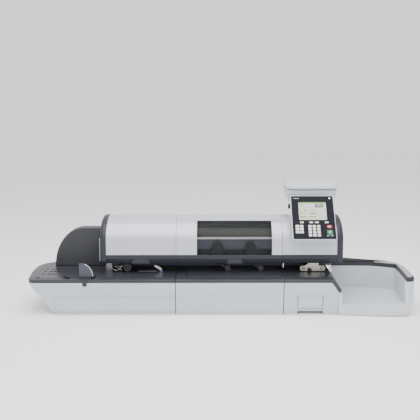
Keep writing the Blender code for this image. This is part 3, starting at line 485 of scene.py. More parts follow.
VENT_COLUMNS = (-0.7570, -0.7355, -0.7250, -0.7145, -0.7040)
VENT_ROWS = (-0.094, -0.053, -0.012)
openings = [
    hole(f"vent_{i}_{j}", x - 0.0034, x + 0.0034, y - 0.008, y + 0.008, 0.009, 0.003)
    for i, x in enumerate(VENT_COLUMNS)
    for j, y in enumerate(VENT_ROWS)
]
openings.append(hole("card_slot", -0.775, -0.757, -0.154, -0.147, 0.006, 0.0015))
openings.append(hole("guide_slot_left", -0.6590, -0.6300, -0.1740, -0.1280, 0.0045, 0.006))
openings.append(hole("guide_slot_right", -0.5420, -0.5230, -0.1740, -0.1290, 0.0045, 0.005))
feed_low, feed_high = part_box("feed_roller")
for i, y in enumerate((-0.050, 0.0)):
    openings.append(
        hole(f"wheel_slot_{i}", feed_low.x - 0.002, feed_high.x + 0.002, y - 0.012, y + 0.012, 0.02, 0.002),
    )
carve(feeder_deck, *openings, slab("deck_hollow", (-0.735, -0.150, 0.10), (SEAM - 0.006, 0.104, 0.1505)))
place(feeder_deck, "machine", "feeder_deck", edge=0.0005)

sealer_deck = loft(
    "sealer_deck_top",
    [box_ring(sealer_low.x, sealer_high.x, z, inset, min(inset, 0.003)) for z, inset in DECK_EDGE],
    deck_charcoal,
)
PANEL_LEFT, PANEL_RIGHT = -0.1385, 0.2600
carve(
    sealer_deck,
    hole("panel_slit", PANEL_LEFT - 0.0035, PANEL_LEFT, -0.158, -0.020, 0.005, 0.0008),
    hole("panel_groove", PANEL_LEFT, PANEL_RIGHT, -0.1600, -0.1575, 0.003, 0.0006),
    hole("latch_hole", -0.1690, -0.1610, -0.100, -0.092, 0.006, 0.0038),
    slab("sealer_hollow", (sealer_low.x + 0.005, -0.150, 0.10), (sealer_high.x - 0.005, 0.124, 0.1505)),
)
place(sealer_deck, "machine", "sealer_deck", edge=0.0005)
lift_panel = prism(
    "moistener_lid",
    rounded(
        (
            (PANEL_LEFT, -0.1570, 0.004),
            (PANEL_RIGHT, -0.1570, 0.004),
            (PANEL_RIGHT, -0.030, 0.004),
            (PANEL_LEFT, -0.030, 0.004),
        )
    ),
    "Z",
    DECK_TOP,
    DECK_TOP + 0.0014,
    deck_charcoal,
)
carve(
    lift_panel,
    slab(
        "lid_line",
        (PANEL_LEFT + 0.012, -0.1465, DECK_TOP + 0.0008),
        (PANEL_RIGHT - 0.008, -0.1445, DECK_TOP + 0.01),
    ),
)
place(lift_panel, "machine", edge=0.0006, steps=3)

# The franking deck's edge profile, (y, height over the top), is carried along the flat
# top and down the chute into the catch tray.
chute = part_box("franker_deck")
CHUTE_TOP_X, CHUTE_FOOT = 0.475, (0.5100, 0.1080)
edge_line = [(FRONT + inset, z - DECK_TOP) for z, inset in DECK_EDGE]
edge_line += [(REAR - 0.002, 0.0), (REAR, -0.002), (REAR, DECK_LOW - DECK_TOP)]
fall = Vector((CHUTE_FOOT[0] - CHUTE_TOP_X, CHUTE_FOOT[1] - DECK_TOP))
slope = math.atan2(-fall.y, fall.x)
stations = [(chute[0].x, DECK_TOP, 0.0), (CHUTE_TOP_X - 0.006, DECK_TOP, 0.0)]
stations.append((CHUTE_TOP_X - 0.0008, DECK_TOP - 0.0012, slope / 2))
stations.append((CHUTE_TOP_X + 0.004, DECK_TOP - 0.0057, slope))
stations.append((CHUTE_FOOT[0], CHUTE_FOOT[1], slope))
chute_deck = loft(
    "franker_deck_top",
    [[(x + h * math.sin(tip), y, z + h * math.cos(tip)) for y, h in edge_line] for x, z, tip in stations],
    deck_charcoal,
)
place(chute_deck, "machine", "franker_deck", edge=0.0004, crease=20)

# Small fittings on the deck: a bare metal wear strip, a blue adjusting tab and the edge
# plate between the sealing and franking modules.
bright_steel = moulded("bright_steel", (0.62, 0.62, 0.60), 0.28, grain=0.0004, mottle=0.06, Metallic=0.9)
wear_strip = slab(
    "wear_strip", (-0.356, -0.0500, DECK_TOP), (-0.272, -0.0460, DECK_TOP + 0.0012), bright_steel
)
place(wear_strip, "machine", edge=0.0004)
tab_blue = moulded("tab_blue", (0.03, 0.10, 0.28), 0.40)
blue_tab = slab("blue_tab", (-0.2610, -0.072, DECK_TOP), (-0.2440, -0.056, DECK_TOP + 0.0030), tab_blue)
place(blue_tab, "machine", edge=0.0012, steps=3)
edge_plate = slab("edge_plate", (0.2690, -0.090, 0.1850), (0.2725, -0.074, 0.2030), bright_steel)
place(edge_plate, "machine", edge=0.0006)


# ---------------------------------------------------------------- catch tray
# The open tray that franked letters drop into: a thick-walled tub of the casing's grey
# ABS, smooth inside, bulging forward at its lower right, hooked to the franking base.

tray_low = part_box("catch_tray")[0]
rim_low, rim_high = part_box("catch_tray_rim")
TRAY_RIGHT = rim_high.x
INNER_RIGHT, INNER_REAR = 0.7720, 0.1120
FLOOR, LIP = 0.0410, 0.0470
CHUTE_END = CHUTE_FOOT[0] + 0.0015


def tray_ring(z, end_in, front):
    left_front = front * 0.3 + FRONT * 0.7 + 0.008
    corners = (
        (tray_low.x, left_front, 0),
        (0.700 - end_in, front, 0.300),
        (0.8165 - end_in, front, 0.028),
        (TRAY_RIGHT - end_in, -0.060, 0.250),
        (TRAY_RIGHT - end_in, 0.050, 0.120),
        (0.797 - end_in, REAR, 0.060),
        (tray_low.x, REAR, 0),
    )
    return [(x, y, z) for x, y in rounded(corners, 8)]


def well(name, left, front, low, high, grow=0.0):
    """The room inside the tray, round in its corners."""
    corners = (
        (left, front, 0),
        (INNER_RIGHT + 0.002 + grow, front, 0.004),
        (INNER_RIGHT + 0.018 + grow, 0.063 + grow, 0.014),
        (0.690 + grow, INNER_REAR - 0.004 + grow, 0.150),
        (left, INNER_REAR + 0.001 + grow, 0),
    )
    return prism(name, rounded(corners, 6), "Z", low, high)


TRAY_LEVELS = (
    (0.0000, 0.0335, -0.1915),
    (0.0022, 0.0300, -0.1955),
    (0.0060, 0.0272, -0.1988),
    (0.0100, 0.0250, -0.2000),
    (0.0180, 0.0208, -0.1993),
    (0.0280, 0.0165, -0.1968),
    (0.0400, 0.0122, -0.1932),
    (0.0550, 0.0086, -0.1885),
    (0.0720, 0.0060, -0.1835),
    (0.0900, 0.0038, -0.1787),
    (0.1150, 0.0018, -0.1722),
    (CASE_TOP - 0.0010, 0.0006, -0.1656),
    (CASE_TOP, 0.0016, -0.1646),
)
tray_grey = moulded("tray_grey", (0.530, 0.555, 0.600), 0.38)
tray = loft("tray_body", [tray_ring(*level) for level in TRAY_LEVELS], tray_grey)
mouth_line = rounded(
    (
        (CHUTE_END, LIP, 0),
        (INNER_RIGHT - 0.0005, LIP, 0.010),
        (INNER_RIGHT + 0.0005, 0.20, 0),
        (CHUTE_END, 0.20, 0),
    ),
    6,
)
carve(
    tray,
    well("tray_well", 0.40, -0.160, FLOOR, 0.20),
    prism("tray_mouth", mouth_line, "Y", -0.25, -0.10),
    slab("chute_room", (0.48, -0.25, CHUTE_FOOT[1] - 0.0118), (CHUTE_END, 0.20, 0.20)),
    slab("tray_room", (tray_low.x + 0.005, -0.155, -0.01), (0.768, 0.105, FLOOR - 0.004)),
)
place(tray, "machine", "catch_tray", edge=0.0022, steps=4, crease=34)

# The rim is a charcoal cap pressed over the walls, with a paler grey strip on the right arm's top that is
# painted sheen, for the light its upward face reflects, and a raised backstop along the rear.
RIM_EDGE = (
    (rim_low.z, 0.0010, -0.1640),
    (rim_low.z + 0.0006, 0.0000, -0.1650),
    (0.1470, 0.0000, -0.1650),
    (0.1476, 0.0007, -0.1643),
    (0.1484, 0.0007, -0.1643),
    (0.1490, 0.0000, -0.1650),
    (0.1548, 0.0004, -0.1646),
    (0.1572, 0.0022, -0.1628),
    (DECK_TOP, 0.0050, -0.1600),
)
rim_charcoal = moulded(
    "rim_charcoal",
    (0.026, 0.027, 0.033),
    0.45,
    grain=0.0012,
    relief=0.00009,
    Specular_IOR_Level=0.35,
)
rim = loft("tray_rim", [tray_ring(*level) for level in RIM_EDGE], rim_charcoal)
carve(
    rim,
    well("rim_well", 0.40, -0.30, 0.12, 0.20),
    slab("rim_end", (0.40, -0.25, 0.12), (CHUTE_END, 0.20, 0.20)),
)
place(rim, "machine", "catch_tray_rim", edge=0.0010, steps=3)
# The paler grey strip on the rim's top is painted sheen, for the light that upward face reflects; the panel
# badge shares its grey.
badge_and_sheen_grey = moulded("badge_and_sheen_grey", (0.33, 0.33, 0.33), 0.60, grain=0.0026, relief=0.00025, mottle=0.10)
rim_sheen = loft(
    "rim_top_sheen",
    [tray_ring(z, 0.007, -0.1540) for z in (DECK_TOP - 0.0004, DECK_TOP + 0.0008)],
    badge_and_sheen_grey,
)
carve(
    rim_sheen,
    well("sheen_well", 0.40, -0.30, 0.12, 0.20, 0.0075),
    slab("sheen_end", (0.40, -0.25, 0.12), (0.706, 0.20, 0.20)),
)
place(rim_sheen, "machine", edge=0.0005)
backstop_line = (
    (CHUTE_END, DECK_TOP - 0.0005),
    (0.7660, DECK_TOP - 0.0005),
    (0.7700, 0.1598),
    (CHUTE_END, 0.1795),
)
gloss_black = moulded("gloss_black", (0.012, 0.012, 0.014), 0.25)
backstop = prism("tray_backstop", backstop_line, "Y", 0.1200, 0.1292, gloss_black)
place(backstop, "machine", edge=0.0012, steps=3)


# ---------------------------------------------------------------- letter guides
# The big charcoal quarter-round wall that the stack leans on, a thin moulded shell, and
# the translucent grey front guide that slides in on its foot and locks with a small tab.

wall_low, wall_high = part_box("feeder_wall")
wall_charcoal = moulded(
    "wall_charcoal", (0.030, 0.031, 0.037), 0.46, grain=0.0011, relief=0.00009, mottle=0.10
)


def wall_outline(inset, y):
    foot = wall_low.z + inset
    centre = wall_low.x + 0.132
    points = [(wall_high.x - inset, y, foot), (wall_high.x - inset, y, wall_high.z - inset)]
    for k in range(25):
        turn = math.radians(90 + 90 * k / 24)
        x = centre + (0.132 - inset) * math.cos(turn)
        points.append((x, y, foot + (wall_high.z - inset - foot) * math.sin(turn)))
    return points


WALL_DEPTH = (
    (0.0040, wall_low.y),
    (0.0018, wall_low.y + 0.0006),
    (0.0005, wall_low.y + 0.0020),
    (0.0000, wall_low.y + 0.0045),
    (0.0000, wall_high.y - 0.0008),
    (0.0008, wall_high.y),
    (0.0026, wall_high.y),
    (0.0032, wall_high.y - 0.0010),
    (0.0040, wall_low.y + 0.0060),
)
letter_wall = loft("letter_wall", [wall_outline(*depth) for depth in WALL_DEPTH], wall_charcoal)
place(letter_wall, "machine", "feeder_wall", edge=0.0)

guide_smoke = moulded("guide_smoke", (0.050, 0.056, 0.080), 0.34, grain=0.002, relief=0.00004, Alpha=0.94)
guide_low, guide_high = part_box("side_guide")
FIN_LEFT, FIN_RIGHT = -0.5920, -0.5320
fin_line = [(FIN_LEFT, guide_low.z + 0.001), (FIN_RIGHT, guide_low.z + 0.001)]
arc_line = []
for k in range(17):
    turn = math.radians(90 * k / 16)
    arc_line.append((-0.588 + 0.054 * math.cos(turn), guide_low.z + 0.004 + 0.057 * math.sin(turn)))
fin_line += arc_line + [(FIN_LEFT, guide_low.z + 0.060)]
guide_foot = prism(
    "guide_foot",
    rounded(
        (
            (guide_low.x, guide_low.y, 0.008),
            (guide_high.x, guide_low.y, 0.008),
            (guide_high.x, guide_high.y, 0.008),
            (guide_low.x, guide_high.y, 0.008),
        )
    ),
    "Z",
    guide_low.z,
    guide_low.z + 0.0030,
    deck_charcoal,
)
place(guide_foot, "guide", "side_guide", edge=0.0008)
fin = prism("guide_fin", fin_line, "Y", -0.1515, -0.1470, guide_smoke)
place(fin, "guide", edge=0.0010, steps=3)


def rod(name, points, radius, material, smooth=True):
    """A bent wire or bead: a round section carried along a smooth line."""
    curve = bpy.data.curves.new(name, "CURVE")
    curve.dimensions = "3D"
    curve.bevel_depth = radius
    curve.bevel_resolution = 4
    curve.use_fill_caps = True
    curve.resolution_u = 8
    line = curve.splines.new("NURBS" if smooth else "POLY")
    line.points.add(len(points) - 1)
    for point, place_at in zip(line.points, points):
        point.co = (*place_at, 1.0)
    if smooth:
        line.order_u = 3
        line.use_endpoint_u = True
    curve.materials.append(material)
    made = bpy.data.objects.new(name, curve)
    bpy.context.scene.collection.objects.link(made)
    return made


# A pale rod along the fin's curved edge is painted highlight, for the bright line that edge catches.
guide_edge_highlight = moulded("guide_edge_highlight", (0.40, 0.42, 0.50), 0.24, grain=0.002)
bead = rod("guide_edge", [(x - 0.0012, -0.1500, z) for x, z in arc_line[:13]], 0.0020, guide_edge_highlight)
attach(bead, "guide")

lock_low, lock_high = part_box("guide_lock")
lock_line = rounded(
    (
        (lock_low.x, lock_low.z, 0.003),
        (lock_high.x, lock_low.z, 0.003),
        (lock_high.x, lock_high.z, 0.001),
        (lock_low.x, lock_high.z, 0.001),
    )
)
lock = prism("guide_lock_tab", lock_line, "Y", lock_low.y, lock_high.y, rim_charcoal)
place(lock, "guide_lock", "guide_lock", edge=0.0010, steps=3)


# ---------------------------------------------------------------- inner frame
# The hollow beam inside the covers that carries their hinges, the pressure arms and the
# print head.  Grey painted plastic in front, seen through the smoked window.

frame_grey = moulded("frame_grey", (0.085, 0.095, 0.125), 0.50)


def refinish(node, material, edge=0.0004):
    """Gives a node that stays as it is a finished surface, with its sharp edges just broken."""
    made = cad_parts[node]
    for slot in made.material_slots:
        slot.material = material
    joined = made.modifiers.new("joined corners", "WELD")
    joined.merge_threshold = 0.00001
    if edge:
        bevel = made.modifiers.new("edges", "BEVEL")
        bevel.width = edge
        bevel.segments = 2
        bevel.limit_method = "ANGLE"
        bevel.angle_limit = math.radians(35)
    return made


refinish("upper_frame", frame_grey, 0.0)
frame_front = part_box("upper_frame")[0].y
window_low, window_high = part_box("hood_window")
# A charcoal strip across the frame's lower front is painted shade, for the shadowed band low behind the
# window.
shade_band = slab(
    "shade_band",
    (-0.180, frame_front - 0.0016, 0.2205),
    (0.262, frame_front, 0.2560),
    rim_charcoal,
)
place(shade_band, "machine", edge=0.0004)
# A pale metal bar across the frame front at the covers' crease height is painted reflection, for the light
# line the window shows along that crease. Its pale metal is also used for the painted highlight round the
# feeder's end.
highlight_metal = moulded("highlight_metal", (0.70, 0.71, 0.76), 0.34, grain=0.0005, Metallic=0.35)
reflection_bar = slab(
    "reflection_bar",
    (-0.180, frame_front - 0.0030, 0.2985),
    (0.262, frame_front + 0.012, 0.3065),
    highlight_metal,
)
place(reflection_bar, "machine", edge=0.0012, steps=3)
inner_olive = moulded("inner_olive", (0.040, 0.042, 0.036), 0.55)
liner_line = [
    (-0.034, 0.3066),
    (0.030, 0.3066),
    (0.030, 0.3380),
    (0.022, 0.3440),
    (-0.010, 0.3440),
    (-0.026, 0.3300),
]
liner = prism("beam_cover", liner_line, "X", -0.150, 0.240, inner_olive)
place(liner, "machine", edge=0.0015, steps=2)


# ---------------------------------------------------------------- covers
# Three half-round hoods of silver lacquered plastic over the rollers.  The feeder's and
# the sealer's swing up and back; the franker's is fixed.  Each has an upright front
# facet, a soft crease, and a charcoal band clipped along its lower edge.

silver_lacquer = moulded(
    "silver_lacquer",
    (0.490, 0.500, 0.545),
    0.33,
    grain=0.0005,
    relief=0.00002,
    mottle=0.02,
    Metallic=0.22,
    Coat_Weight=0.12,
)
hood_low, hood_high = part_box("franker_hood")
CREST_Y = 0.050
HOOD_TOP = hood_high.z
HOOD_FOOT = 0.2393
FACET_TOP = (-0.0868, 0.3080)


def hood_line(inset=0.0, low=HOOD_FOOT, high=1.0):
    """The covers' outer line from the front foot over the crest to the hinge, (y, z)."""
    line = [(-0.0900 + inset, low), (FACET_TOP[0] + inset - 0.0001, FACET_TOP[1] - 0.0012)]
    wide, tall = CREST_Y - FACET_TOP[0] - inset, HOOD_TOP - 0.2845 - inset
    for k in range(29):
        turn = math.radians(13.0 + (90 - 13.0) * k / 28)
        bulge = 1.0 / math.cos(math.radians(13.0))
        line.append((CREST_Y - wide * bulge * math.cos(turn), 0.2845 + tall * math.sin(turn)))
    for k in range(1, 13):
        turn = math.radians(90 * k / 12)
        rear, drop = hood_high.y - CREST_Y - inset, HOOD_TOP - 0.310 - inset
        line.append((CREST_Y + rear * math.sin(turn), 0.310 + drop * math.cos(turn)))
    return [point for point in line if point[1] <= high]


def hood(name, left, right):
    outline = hood_line() + hood_line(0.003)[::-1]
    return prism(name, outline, "X", left, right, silver_lacquer)


feeder_hood_low, feeder_hood_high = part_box("feeder_hood")
sealer_hood_low, sealer_hood_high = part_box("sealer_hood")
feeder_cover = hood("feeder_cover_hood", feeder_hood_low.x, feeder_hood_high.x)
place(feeder_cover, "feeder_cover", "feeder_hood", edge=0.0011, steps=3, crease=34)
sealer_cover = hood("sealer_cover_hood", sealer_hood_low.x, sealer_hood_high.x)
carve(
    sealer_cover,
    slab(
        "window_opening",
        (window_low.x - 0.0005, -0.2, HOOD_FOOT - 0.01),
        (window_high.x + 0.0005, 0.02, window_high.z + 0.0004),
    ),
)
place(sealer_cover, "sealer_cover", "sealer_hood", edge=0.0011, steps=3, crease=34)
franker_cover = hood("franker_cover_hood", hood_low.x, hood_high.x)
place(franker_cover, "machine", "franker_hood", edge=0.0011, steps=3, crease=34)


def smoked(name):
    """Smoked acrylic: dark, clear and glossy, with the odd faint smear."""
    made, point = new_material(name)
    smear = point.stretched(5.0, 30.0, 30.0).noise(1.0, 5.0)
    inputs = {
        "Base Color": smear.blend((0.012, 0.014, 0.014, 1.0), (0.030, 0.033, 0.033, 1.0)),
        "Roughness": smear.between(0.35, 0.75, 0.04, 0.12),
        "Alpha": smear.between(0.3, 0.8, 0.20, 0.27),
        "Specular IOR Level": 0.12,
    }
    return shaded(made, point, inputs)


pane_line = hood_line(0.0004, window_low.z, window_high.z)
pane_inner = hood_line(0.0026, window_low.z, window_high.z)
shortest = min(len(pane_line), len(pane_inner))
pane = prism(
    "cover_window",
    pane_line[:shortest] + pane_inner[:shortest][::-1],
    "X",
    window_low.x,
    window_high.x,
    smoked("smoked_acrylic"),
)
place(pane, "sealer_cover", "hood_window", edge=0.0, crease=40)

trim_charcoal = moulded(
    "trim_charcoal",
    (0.026, 0.027, 0.037),
    0.38,
    grain=0.0012,
    relief=0.00008,
    Specular_IOR_Level=0.28,
)
TRIM_LINE = (
    (-0.0890, 0.2390),
    (-0.0902, 0.2380),
    (-0.0902, 0.2215),
    (-0.0885, 0.2195),
    (-0.0874, 0.2140),
    (-0.0848, 0.2065),
    (-0.0812, 0.2015),
    (-0.0760, 0.2000),
    (-0.0760, 0.2025),
    (-0.0798, 0.2038),
    (-0.0826, 0.2078),
    (-0.0852, 0.2150),
    (-0.0862, 0.2390),
)
feeder_trim_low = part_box("feeder_hood_trim")[0]
franker_trim_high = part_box("franker_hood_trim")[1]


def end_outline(outset, x):
    """Closed outline of an end ring, with a step out at the band."""
    line = hood_line(-outset, 0.214)
    line += [(hood_high.y + outset, 0.215), (hood_high.y + outset - 0.010, 0.2000)]
    line += [(-0.0790 - outset * 0.5, 0.2000), (-0.0838 - outset, 0.2055)]
    return [(x, y, z) for y, z in line]


def end_ring(name, outer_x, inner_x):
    """A cover's dished end: closed outside, and hollow towards the hood."""
    run = inner_x - outer_x
    skins = [
        (outer_x + run * depth, outset)
        for depth, outset in (
            (0, -0.0160),
            (0.03, -0.0105),
            (0.11, -0.0052),
            (0.24, -0.0012),
            (0.42, 0.0008),
            (0.62, 0.0015),
            (1.0, 0.0015),
        )
    ]
    skins += [(inner_x, -0.0018), (outer_x + run * 0.30, -0.0030), (outer_x + run * 0.12, -0.0160)]
    return loft(name, [end_outline(outset, x) for x, outset in skins], trim_charcoal)


feeder_end = end_ring("feeder_end_ring", feeder_trim_low.x, feeder_hood_low.x - 0.0003)
place(feeder_end, "feeder_cover", "feeder_hood_trim", edge=0.0, crease=40)
franker_end = end_ring("franker_end_ring", franker_trim_high.x, hood_high.x + 0.0003)
place(franker_end, "machine", "franker_hood_trim", edge=0.0, crease=40)
bands = (
    ("feeder_band", feeder_hood_low.x, feeder_hood_high.x, "feeder_cover", ()),
    ("sealer_band", sealer_hood_low.x, sealer_hood_high.x, "sealer_cover", ("sealer_hood_trim",)),
    ("franker_band", hood_low.x, hood_high.x, "machine", ()),
)
for name, left, right, body, nodes in bands:
    band = prism(name, TRIM_LINE, "X", left, right, trim_charcoal)
    place(band, body, *nodes, edge=0.0005, crease=30)

# Finger grips to lift the two moving covers, and a thin bright metal line round the feeder's end ring that
# is painted highlight, for the light its inner edge catches.
for name, left, right, body in (
    ("feeder_grip", -0.3780, -0.2980, "feeder_cover"),
    ("sealer_grip", 0.0280, 0.0990, "sealer_cover"),
):
    grip_line = ((left + 0.008, 0.2215), (right - 0.008, 0.2215), (right, 0.2012), (left, 0.2012))
    grip = prism(name, grip_line, "Y", -0.0895, -0.0830, rim_charcoal)
    place(grip, body, edge=0.0010, steps=2)
highlight_line = [(y, z) for y, z in hood_line(0.0080, 0.212) if z < 0.312]
highlight_line.insert(1, (highlight_line[0][0] * 0.5 + highlight_line[1][0] * 0.5, 0.262))
end_highlight = rod(
    "feeder_end_highlight",
    [(feeder_trim_low.x + 0.0006, y, z) for y, z in highlight_line],
    0.0007,
    highlight_metal,
)
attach(end_highlight, "feeder_cover")

# Small marks punched in the franking hood's crest.
for i, y in enumerate((0.010, 0.026, 0.042)):
    z = 0.2845 + (HOOD_TOP - 0.2845) * math.sqrt(1 - ((CREST_Y - y) / (CREST_Y - FACET_TOP[0])) ** 2)
    for j in range(3):
        x = 0.2755 + 0.0078 * j
        mark = slab(
            f"hood_mark_{i}_{j}",
            (x, y - 0.0035, z - 0.0012),
            (x + 0.0052, y + 0.0035, z + 0.0006),
            trim_charcoal,
        )
        place(mark, "machine", edge=0.0004)


# ---------------------------------------------------------------- rollers and arms
# Rubber-tyred rollers on steel shafts carry the letters; two sprung arms with ribbed
# covers press them on the sealing deck.

tyre_rubber = moulded("tyre_rubber", (0.028, 0.028, 0.030), 0.70, grain=0.0012, relief=0.00012)
for node in ("feed_roller", "separator_roller", "eject_roller", "print_cartridge"):
    refinish(node, tyre_rubber, 0.0)
arm_black = moulded("arm_black", (0.010, 0.009, 0.012), 0.50, grain=0.0014, relief=0.00012)
for number in (1, 2):
    arm_low, arm_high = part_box(f"pressure_arm_{number}")
    body = f"pressure_arm_{number}"
    middle = arm_low.x + 0.0295
    pod_line = [(middle - 0.0285, arm_low.z + 0.0475)]
    for k in range(21):
        turn = math.radians(180 - 180 * k / 20)
        pod_line.append((middle + 0.0285 * math.cos(turn), 0.2400 + (arm_high.z - 0.2400) * math.sin(turn)))
    pod_line.append((middle + 0.0285, arm_low.z + 0.0475))
    pod = prism(f"arm_pod_{number}", pod_line, "Y", arm_low.y, -0.0458, arm_black)
    place(pod, body, f"pressure_arm_{number}", edge=0.0040, steps=4)
    for k, scale in enumerate((0.86, 0.68, 0.50, 0.32)):
        ridge = []
        for step in range(13):
            turn = math.radians(180 - 180 * step / 12)
            ridge.append(
                (
                    middle + 0.0285 * scale * math.cos(turn),
                    arm_low.y - 0.0004,
                    0.2280 + (arm_high.z - 0.2280) * scale * math.sin(turn),
                )
            )
        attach(rod(f"arm_{number}_ridge_{k}", ridge, 0.0011, arm_black), body)
    wheel_x = middle + 0.0450
    link = [
        (middle - 0.004, -0.0520, 0.2120),
        (middle + 0.002, -0.0530, 0.1960),
        (middle + 0.020, -0.0540, 0.1840),
        (wheel_x, -0.0545, arm_low.z + 0.0130),
    ]
    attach(rod(f"arm_{number}_link", link, 0.0042, arm_black), body)


def turned(name, profile, centre, material, segments=40):
    """A round part on a shaft along Y, from its (y, radius) outline."""
    rings = []
    for y, radius in profile:
        ring = []
        for k in range(segments):
            turn = 2 * math.pi * k / segments
            ring.append(
                (centre[0] + radius * math.cos(turn), centre[1] + y, centre[2] + radius * math.sin(turn)),
            )
        rings.append(ring)
    return loft(name, rings, material)


for number in (1, 2):
    arm_low, arm_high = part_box(f"pressure_arm_{number}")
    tyre = (
        (-0.0100, 0.0060),
        (-0.0100, 0.0110),
        (-0.0085, 0.0129),
        (0.0085, 0.0129),
        (0.0100, 0.0110),
        (0.0100, 0.0060),
    )
    wheel = turned(
        f"arm_wheel_{number}", tyre, (arm_low.x + 0.0745, -0.0515, arm_low.z + 0.0130), tyre_rubber
    )
    place(wheel, f"pressure_arm_{number}", edge=0.0, crease=40)

# Bent wire springs and a steel lever in the feeder's throat.
springs = (
    (
        (-0.4800, 0.1850),
        (-0.4680, 0.1740),
        (-0.4560, 0.1660),
        (-0.4470, 0.1620),
        (-0.4440, 0.1680),
        (-0.4370, 0.1720),
    ),
    ((-0.4560, 0.1820), (-0.4480, 0.1790), (-0.4360, 0.1800), (-0.4230, 0.1835)),
    ((-0.4380, 0.1650), (-0.4330, 0.1730), (-0.4230, 0.1832)),
    ((-0.4360, 0.1745), (-0.4290, 0.1690), (-0.4265, 0.1640)),
)
for i, line in enumerate(springs):
    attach(rod(f"throat_spring_{i}", [(x, -0.0560, z) for x, z in line], 0.0011, bright_steel), "machine")
lever_line = rounded(
    (
        (-0.2860, 0.1850, 0.001),
        (-0.2560, 0.1625, 0.003),
        (-0.2490, 0.1640, 0.003),
        (-0.2530, 0.1760, 0.004),
        (-0.2740, 0.1870, 0.001),
    )
)
lever = prism("throat_lever", lever_line, "Y", -0.0620, -0.0590, bright_steel)
place(lever, "machine", edge=0.0006)


# ---------------------------------------------------------------- ejector bracket
# A nickel-plated pressed bracket that holds the ejector roller at the franker's exit,
# fixed by two screws, with a black tension disc low on its left.

bracket_low, bracket_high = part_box("eject_bracket")
nickel = moulded("nickel_plate", (0.56, 0.52, 0.45), 0.34, grain=0.0006, mottle=0.08, Metallic=0.75)
middle_z = 0.1752
bracket_line = rounded(
    (
        (bracket_low.x, middle_z - 0.0125, 0.0085),
        (0.3780, middle_z - 0.0145, 0.004),
        (0.4220, middle_z - 0.0135, 0.004),
        (bracket_high.x, middle_z - 0.0125, 0.0085),
        (bracket_high.x, middle_z + 0.0085, 0.0085),
        (0.4270, middle_z + 0.0090, 0.002),
        (0.4240, middle_z + 0.0145, 0.003),
        (0.3720, middle_z + 0.0145, 0.003),
        (0.3690, middle_z + 0.0090, 0.002),
        (bracket_low.x, middle_z + 0.0085, 0.0085),
    )
)
bracket = prism("exit_bracket", bracket_line, "Y", bracket_low.y, -0.0580, nickel)
strap = slab("bracket_strap", (0.3800, -0.0600, 0.1800), (0.4260, -0.0455, bracket_high.z), nickel)
weld(bracket, strap)
place(bracket, "machine", "eject_bracket", edge=0.0009, steps=3)
screw_profile = ((0.0, 0.0045), (-0.0012, 0.0045), (-0.0022, 0.0034), (-0.0022, 0.0018), (-0.0010, 0.0017))
for i, x in enumerate((0.3595, 0.4405)):
    head = turned(
        f"bracket_screw_{i}",
        screw_profile,
        (x, bracket_low.y, middle_z - 0.0015),
        bright_steel,
        24,
    )
    place(head, "machine", edge=0.0, crease=35)
    washer = ((0.0, 0.0070), (-0.0005, 0.0070), (-0.0007, 0.0064), (-0.0007, 0.0046))
    ring = turned(f"bracket_washer_{i}", washer, (x, bracket_low.y, middle_z - 0.0015), trim_charcoal, 32)
    place(ring, "machine", edge=0.0, crease=35)
roller_low, roller_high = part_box("eject_roller")
disc_profile = (
    (0.0, 0.0070),
    (0.0, 0.0084),
    (-0.0015, 0.0088),
    (-0.0034, 0.0084),
    (-0.0040, 0.0070),
    (-0.0034, 0.0030),
)
disc_at = ((roller_low.x + roller_high.x) / 2, roller_low.y, (roller_low.z + roller_high.z) / 2)
disc = turned("eject_disc", disc_profile, disc_at, gloss_black)
place(disc, "eject_roller", edge=0.0, crease=40)
wheel_white = moulded("wheel_white", (0.80, 0.80, 0.80), 0.35)
exit_profile = (
    (-0.004, 0.0020),
    (-0.004, 0.0062),
    (-0.003, 0.0070),
    (0.003, 0.0070),
    (0.004, 0.0062),
    (0.004, 0.0020),
)
exit_wheel = turned("exit_wheel", exit_profile, (0.4745, -0.0760, DECK_TOP + 0.0145), wheel_white)
place(exit_wheel, "machine", edge=0.0, crease=40)
for i, side in enumerate((-0.0055, 0.0055)):
    arc = [
        (0.4640, -0.076 + side, 0.1850),
        (0.4800, -0.076 + side, 0.1840),
        (0.4860, -0.076 + side, 0.1720),
        (0.4820, -0.076 + side, 0.1600),
    ]
    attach(rod(f"exit_wheel_arm_{i}", arc, 0.0010, bright_steel), "machine")


# ---------------------------------------------------------------- scale
# The weighing head on its column over the franking module: a shallow bowl of grey ABS
# with a flat plate resting on the load cell.

pan_low, pan_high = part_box("weigh_pan")
SCALE_X = (pan_low.x + pan_high.x) / 2
HALF = (pan_high.x - pan_low.x) / 2
scale_grey = moulded("scale_grey", (0.500, 0.540, 0.560), 0.42)


def plate_ring(inset, front_in, rear_in, radius, z):
    left, right = SCALE_X - HALF + inset, SCALE_X + HALF - inset
    front, rear = pan_low.y + front_in, pan_high.y - rear_in
    corners = ((left, front, radius), (right, front, radius), (right, rear, radius), (left, rear, radius))
    return [(x, y, z) for x, y in rounded(corners, 6)]


